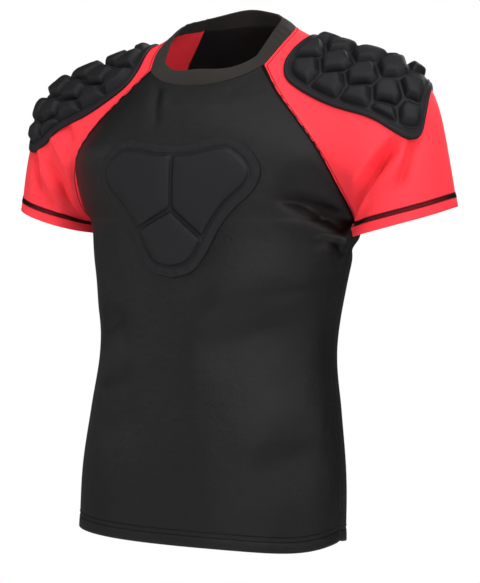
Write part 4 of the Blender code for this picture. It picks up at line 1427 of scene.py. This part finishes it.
def fabric(name, colour, roughness, groups, wale, depth, sheen, ripple=0.0004, shine=0.14, fibres=0.1):
    """A knit: loops on the flat pattern, painted shade in the hollows between the loops, uneven dye, and
    fine ripples of the cloth.
    """
    knit, shade = groups
    material = bpy.data.materials.new(name)
    material.use_nodes = True
    tree = material.node_tree
    shader = tree.nodes["Principled BSDF"]
    where = node(tree, "ShaderNodeTexCoord", (-1400, 0))
    pattern = node(tree, "ShaderNodeUVMap", (-1400, -300), uv_map="pattern")
    loops = node(tree, "ShaderNodeGroup", (-1100, -300), node_tree=knit)
    loops.inputs["Wale"].default_value = wale
    loops.inputs["Course"].default_value = 0.82 * wale
    tree.links.new(pattern.outputs["UV"], loops.inputs["Pattern"])
    dye = node(tree, "ShaderNodeGroup", (-1100, 100), node_tree=shade)
    dye.inputs["Colour"].default_value = (*colour, 1)
    dye.inputs["Roughness"].default_value = roughness
    dye.inputs["Fibres"].default_value = fibres
    tree.links.new(where.outputs["Object"], dye.inputs["Place"])
    # painted shade: the colour is darkened in the hollows between the knit loops
    painted_shade_mix = node(tree, "ShaderNodeMix", (-700, 200), data_type="RGBA", blend_type="MULTIPLY")
    painted_shade_mix.inputs["B"].default_value = (0.62, 0.62, 0.62, 1)
    tree.links.new(dye.outputs["Colour"], painted_shade_mix.inputs["A"])
    painted_loop_shade = maths(tree, "MULTIPLY", (-900, 300), loops.outputs["Painted shade"], 0.35)
    tree.links.new(painted_loop_shade, painted_shade_mix.inputs["Factor"])
    tree.links.new(painted_shade_mix.outputs["Result"], shader.inputs["Base Color"])
    tree.links.new(dye.outputs["Roughness"], shader.inputs["Roughness"])
    wrinkle = node(tree, "ShaderNodeTexNoise", (-1100, -600))
    wrinkle.inputs["Scale"].default_value = 45.0
    wrinkle.inputs["Detail"].default_value = 5.0
    wrinkle.inputs["Roughness"].default_value = 0.6
    tree.links.new(where.outputs["Object"], wrinkle.inputs["Vector"])
    soft = node(tree, "ShaderNodeBump", (-700, -500))
    soft.inputs["Distance"].default_value = ripple
    tree.links.new(wrinkle.outputs["Fac"], soft.inputs["Height"])
    fine = node(tree, "ShaderNodeBump", (-450, -350))
    fine.inputs["Distance"].default_value = depth
    tree.links.new(loops.outputs["Height"], fine.inputs["Height"])
    tree.links.new(soft.outputs["Normal"], fine.inputs["Normal"])
    tree.links.new(fine.outputs["Normal"], shader.inputs["Normal"])
    shader.inputs["Sheen Weight"].default_value = sheen
    shader.inputs["Sheen Roughness"].default_value = 0.45
    shader.inputs["Specular IOR Level"].default_value = shine
    return material


def thread(name, colour, shade):
    """Twisted sewing thread: uneven dye and fine slanted ridges."""
    material = bpy.data.materials.new(name)
    material.use_nodes = True
    tree = material.node_tree
    shader = tree.nodes["Principled BSDF"]
    where = node(tree, "ShaderNodeTexCoord", (-1100, 0))
    dye = node(tree, "ShaderNodeGroup", (-700, 100), node_tree=shade)
    dye.inputs["Colour"].default_value = (*colour, 1)
    dye.inputs["Roughness"].default_value = 0.55
    dye.inputs["Patches"].default_value = 0.3
    dye.inputs["Fibres"].default_value = 0.35
    tree.links.new(where.outputs["Object"], dye.inputs["Place"])
    tree.links.new(dye.outputs["Colour"], shader.inputs["Base Color"])
    tree.links.new(dye.outputs["Roughness"], shader.inputs["Roughness"])
    twist = node(tree, "ShaderNodeTexWave", (-700, -250), bands_direction="DIAGONAL")
    twist.inputs["Scale"].default_value = 900.0
    tree.links.new(where.outputs["Object"], twist.inputs["Vector"])
    bump = node(tree, "ShaderNodeBump", (-350, -250))
    bump.inputs["Distance"].default_value = 0.0001
    tree.links.new(twist.outputs["Fac"], bump.inputs["Height"])
    tree.links.new(bump.outputs["Normal"], shader.inputs["Normal"])
    shader.inputs["Specular IOR Level"].default_value = 0.06
    return material


# Studio


def add_camera():
    camera = bpy.data.cameras.new("camera")
    camera.sensor_fit = "VERTICAL"
    camera.sensor_height = SENSOR
    camera.lens = FOCAL_PIXELS / FRAME_HEIGHT * SENSOR
    obj = bpy.data.objects.new("camera", camera)
    bpy.context.scene.collection.objects.link(obj)
    ahead = Vector((-math.sin(CAMERA_TURN), math.cos(CAMERA_TURN), 0))
    right = Vector((math.cos(CAMERA_TURN), math.sin(CAMERA_TURN), 0))
    aim = ahead * FOCAL_PIXELS + right * HORIZON_ASIDE - UP * HORIZON_ABOVE
    obj.rotation_euler = aim.to_track_quat("-Z", "Y").to_euler()
    obj.location = CAMERA_PLACE
    bpy.context.scene.camera = obj


def add_light(name, place, target, size, power):
    light = bpy.data.lights.new(name, "AREA")
    light.shape = "RECTANGLE"
    light.size, light.size_y = size
    light.energy = power
    obj = bpy.data.objects.new(name, light)
    bpy.context.scene.collection.objects.link(obj)
    obj.location = place
    obj.rotation_euler = (Vector(target) - Vector(place)).to_track_quat("-Z", "Y").to_euler()


def add_studio():
    """A white floor and surroundings, and large soft lights."""
    bm = bmesh.new()
    bmesh.ops.create_circle(bm, cap_ends=True, segments=64, radius=FLOOR_RADIUS)
    bmesh.ops.translate(bm, verts=bm.verts, vec=(0, 0, FLOOR_HEIGHT))
    white = bpy.data.materials.new("floor_white")
    white.use_nodes = True
    shader = white.node_tree.nodes["Principled BSDF"]
    shader.inputs["Base Color"].default_value = (0.9, 0.9, 0.9, 1)
    shader.inputs["Roughness"].default_value = 0.9
    shader.inputs["Emission Color"].default_value = (1, 1, 1, 1)
    shader.inputs["Emission Strength"].default_value = 0.25
    object_of("floor", bm, white)
    world = bpy.data.worlds.new("studio")
    world.use_nodes = True
    tree = world.node_tree
    seen = tree.nodes["Background"]
    seen.inputs["Color"].default_value = (1, 1, 1, 1)
    seen.inputs["Strength"].default_value = WHITE_SEEN
    lit = node(tree, "ShaderNodeBackground", (0, -150))
    lit.inputs["Color"].default_value = (1, 1, 1, 1)
    lit.inputs["Strength"].default_value = WHITE_LIGHT
    path = node(tree, "ShaderNodeLightPath", (-200, 200))
    both = node(tree, "ShaderNodeMixShader", (200, 0))
    tree.links.new(path.outputs["Is Camera Ray"], both.inputs["Fac"])
    tree.links.new(lit.outputs[0], both.inputs[1])
    tree.links.new(seen.outputs[0], both.inputs[2])
    tree.links.new(both.outputs[0], tree.nodes["World Output"].inputs["Surface"])
    bpy.context.scene.world = world
    for row in LIGHTS:
        add_light(*row)
    view = bpy.context.scene.view_settings
    view.view_transform = "Standard"
    view.look = "None"


# The top


def ride(obj, slot, *nodes):
    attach(obj, "root")
    if nodes:
        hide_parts(*nodes)
    return obj


def collar_points(front, back, left, right):
    """The band's section, up its outer face, over its folded top and down inside, round the neck."""
    first = RAGLAN_ROWS * SLEEVE_FINER
    last = first + NECK_EDGE_STEPS * SLEEVE_FINER
    ring = np.concatenate((
        front.points[-1, :-1],
        left.points[0, first:last],
        back.points[-1, ::-1][:-1],
        right.points[0, first : last + 1][::-1],
    ))
    half = COLLAR_CLOTH / 2
    columns = []
    for p in map(Vector, ring):
        flat = Vector((p.x, p.y, 0)).normalized()
        to_side = ease(abs(flat.x))
        end = 0 if flat.y < 0 else 2
        rise = UP * mix(COLLAR_UP[end], COLLAR_UP[1], to_side)
        rise -= flat * mix(COLLAR_IN[end], COLLAR_IN[1], to_side)
        up = rise.normalized()
        out = (flat - up * flat.dot(up)).normalized()
        tall = rise.length - half + COLLAR_LAP
        section = []
        for share in steps(0, 1, COLLAR_RISE_STEPS):
            section.append((share * tall, COLLAR_BULGE * math.sin(math.pi * share)))
        for angle in steps(0, math.pi, COLLAR_TOP_STEPS)[1:-1]:
            section.append((tall + half * math.sin(angle), half * (math.cos(angle) - 1)))
        for share in steps(1, 0, COLLAR_RISE_STEPS):
            section.append((share * tall, COLLAR_BULGE * math.sin(math.pi * share) - COLLAR_CLOTH))
        section.append((0, 0))
        start = p - up * COLLAR_LAP + out * COLLAR_CLOTH / 4
        columns.append([start + up * along_band + out * away for along_band, away in section])
    return np.array(columns).transpose(1, 0, 2)


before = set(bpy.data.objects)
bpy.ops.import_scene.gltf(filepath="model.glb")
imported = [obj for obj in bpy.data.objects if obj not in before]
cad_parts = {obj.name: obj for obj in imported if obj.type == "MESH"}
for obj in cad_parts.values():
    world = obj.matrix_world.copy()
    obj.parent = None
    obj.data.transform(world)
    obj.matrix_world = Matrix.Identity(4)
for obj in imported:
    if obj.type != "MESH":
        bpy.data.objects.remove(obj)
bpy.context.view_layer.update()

add_camera()
add_studio()

# Knits and threads
groups = knit_group(), shade_group()
black_knit = fabric(
    "black_knit",
    (0.0048, 0.0045, 0.0046),
    roughness=0.35,
    groups=groups,
    wale=0.0011,
    depth=0.00012,
    sheen=0.0,
    ripple=0.0014,
    fibres=0.6,
)
red_knit = fabric(
    "red_knit",
    (0.80, 0.030, 0.044),
    roughness=0.52,
    groups=groups,
    wale=0.0011,
    depth=0.00012,
    sheen=0.02,
)
collar_knit = fabric(
    "collar_knit",
    (0.0195, 0.0174, 0.0156),
    roughness=0.60,
    groups=groups,
    wale=0.0012,
    depth=0.00014,
    sheen=0.03,
    shine=0.06,
)
pad_knit = fabric(
    "pad_knit",
    (0.0058, 0.0056, 0.0067),
    roughness=0.56,
    groups=groups,
    wale=0.0009,
    depth=0.00008,
    sheen=0.0,
    ripple=0.0002,
)
black_thread = thread("black_thread", (0.0024, 0.0022, 0.0022), groups[1])
red_thread = thread("red_thread", (0.012, 0.0016, 0.002), groups[1])

# Panels
front, front_form = body_cloth(FRONT, FRONT_FOLDS, FRONT_CREASES, 1, 0, PUCKER_START["front"])
back, back_form = body_cloth(BACK, BACK_FOLDS, BACK_CREASES, -1, 1, PUCKER_START["back"])
sleeves, sleeve_forms = {}, {}
for side_name in ("left", "right"):
    sleeves[side_name], sleeve_forms[side_name] = sleeve_cloth(
        SLEEVE_FOLDS[side_name], SLEEVE_CREASES[side_name], CUFFS[side_name], PUCKER_START[side_name]
    )
sleeves["right"] = mirrored(sleeves["right"])

front_panel = ride(cloth_object("front_panel", front, CLOTH, black_knit), "black_knit", "front")
back_panel = ride(cloth_object("back_panel", back, CLOTH, black_knit), "black_knit", "back")
for side_name, cloth in sleeves.items():
    panel = cloth_object(side_name + "_sleeve", cloth, CLOTH, red_knit)
    ride(panel, "red_knit", "sleeve_" + side_name)

# Collar
collar = collar_points(front, back, sleeves["left"], sleeves["right"])
collar_flat = np.stack((lengths(collar, 1), lengths(collar, 0)), axis=2)
collar_bm = grid_mesh(collar, collar_flat, True)
bmesh.ops.recalc_face_normals(collar_bm, faces=collar_bm.faces)
collar_band = ride(object_of("collar_band", collar_bm, collar_knit), "collar_knit", "collar")

# Shoulder pads
pad_outline = spaced(whole_outline(PAD_OUTLINE, PAD_BACK_OUTLINE, PAD_OUTLINE_STEPS), OUTLINE_STEP)
pad_cells = hexagon_cells(pad_outline)
pad_block = CELL_HEIGHT, CELL_ROUND, CELL_CROWN
for side_name, side in (("left", 1), ("right", -1)):
    bed = shoulder_bed(tree_of(sleeve_forms[side_name], front_form, back_form), PAD_DROOP[side_name])
    place = swung(bed, PAD_SWING[side_name])
    pad = pad_object(
        side_name + "_shoulder_pad",
        pad_outline,
        pad_cells,
        PAD_PROFILE,
        pad_block,
        place,
        side,
        pad_knit,
    )
    ride(pad, "pad_knit", "shoulder_pad_" + side_name)

# Chest pad
chest_outline = spaced(whole_outline(CHEST_OUTLINE, CHEST_OUTLINE, CHEST_OUTLINE_STEPS), OUTLINE_STEP)
chest_block = CHEST_HEIGHT, CHEST_ROUND, CHEST_CROWN
chest = pad_object(
    "chest_guard",
    chest_outline,
    chest_cells(chest_outline),
    CHEST_PROFILE,
    chest_block,
    chest_bed(tree_of(front_form)).at,
    1,
    pad_knit,
    waved=True,
)
ride(chest, "pad_knit", "chest_pad")

# Sewing at the hem and the cuffs
stitches = []
for cloth in (front, back):
    for distance in (HEM_HEIGHT, HEM_HEIGHT + COVER_WIDTH):
        stitches += running_stitches(*cloth.line("first", distance, STITCH_LIFT))
hem_rows = ride(stitch_object("hem_stitching", stitches, black_thread), "black_knit")
for side_name, cloth in sleeves.items():
    low = cloth.line("last", CUFF_HEM_HEIGHT - COVER_WIDTH / 2, COVER_LIFT)
    high = cloth.line("last", CUFF_HEM_HEIGHT + COVER_WIDTH / 2, COVER_LIFT)
    band = stitch_object(side_name + "_cuff_stitching", cover_stitches(*low, *high), black_thread)
    ride(band, "black_knit")

# Sewing at the raglan seams
for side_name, cloth in sleeves.items():
    stitches = running_stitches(*cloth.line("first", NEEDLE_ASIDE, STITCH_LIFT))
    rows = stitch_object(side_name + "_raglan_stitching", stitches, red_thread)
    ride(rows, "red_knit")
for panel_name, cloth in (("front", front), ("back", back)):
    stitches = []
    for edge in ("left", "right"):
        low, high = (cloth.line(edge, distance, FLATLOCK_LIFT) for distance in FLATLOCK)
        stitches += cover_stitches(*(line[SIDE_ROWS * FINER :] for line in (*low, *high)))
    band = stitch_object(panel_name + "_raglan_stitching", stitches, black_thread)
    ride(band, "black_knit")
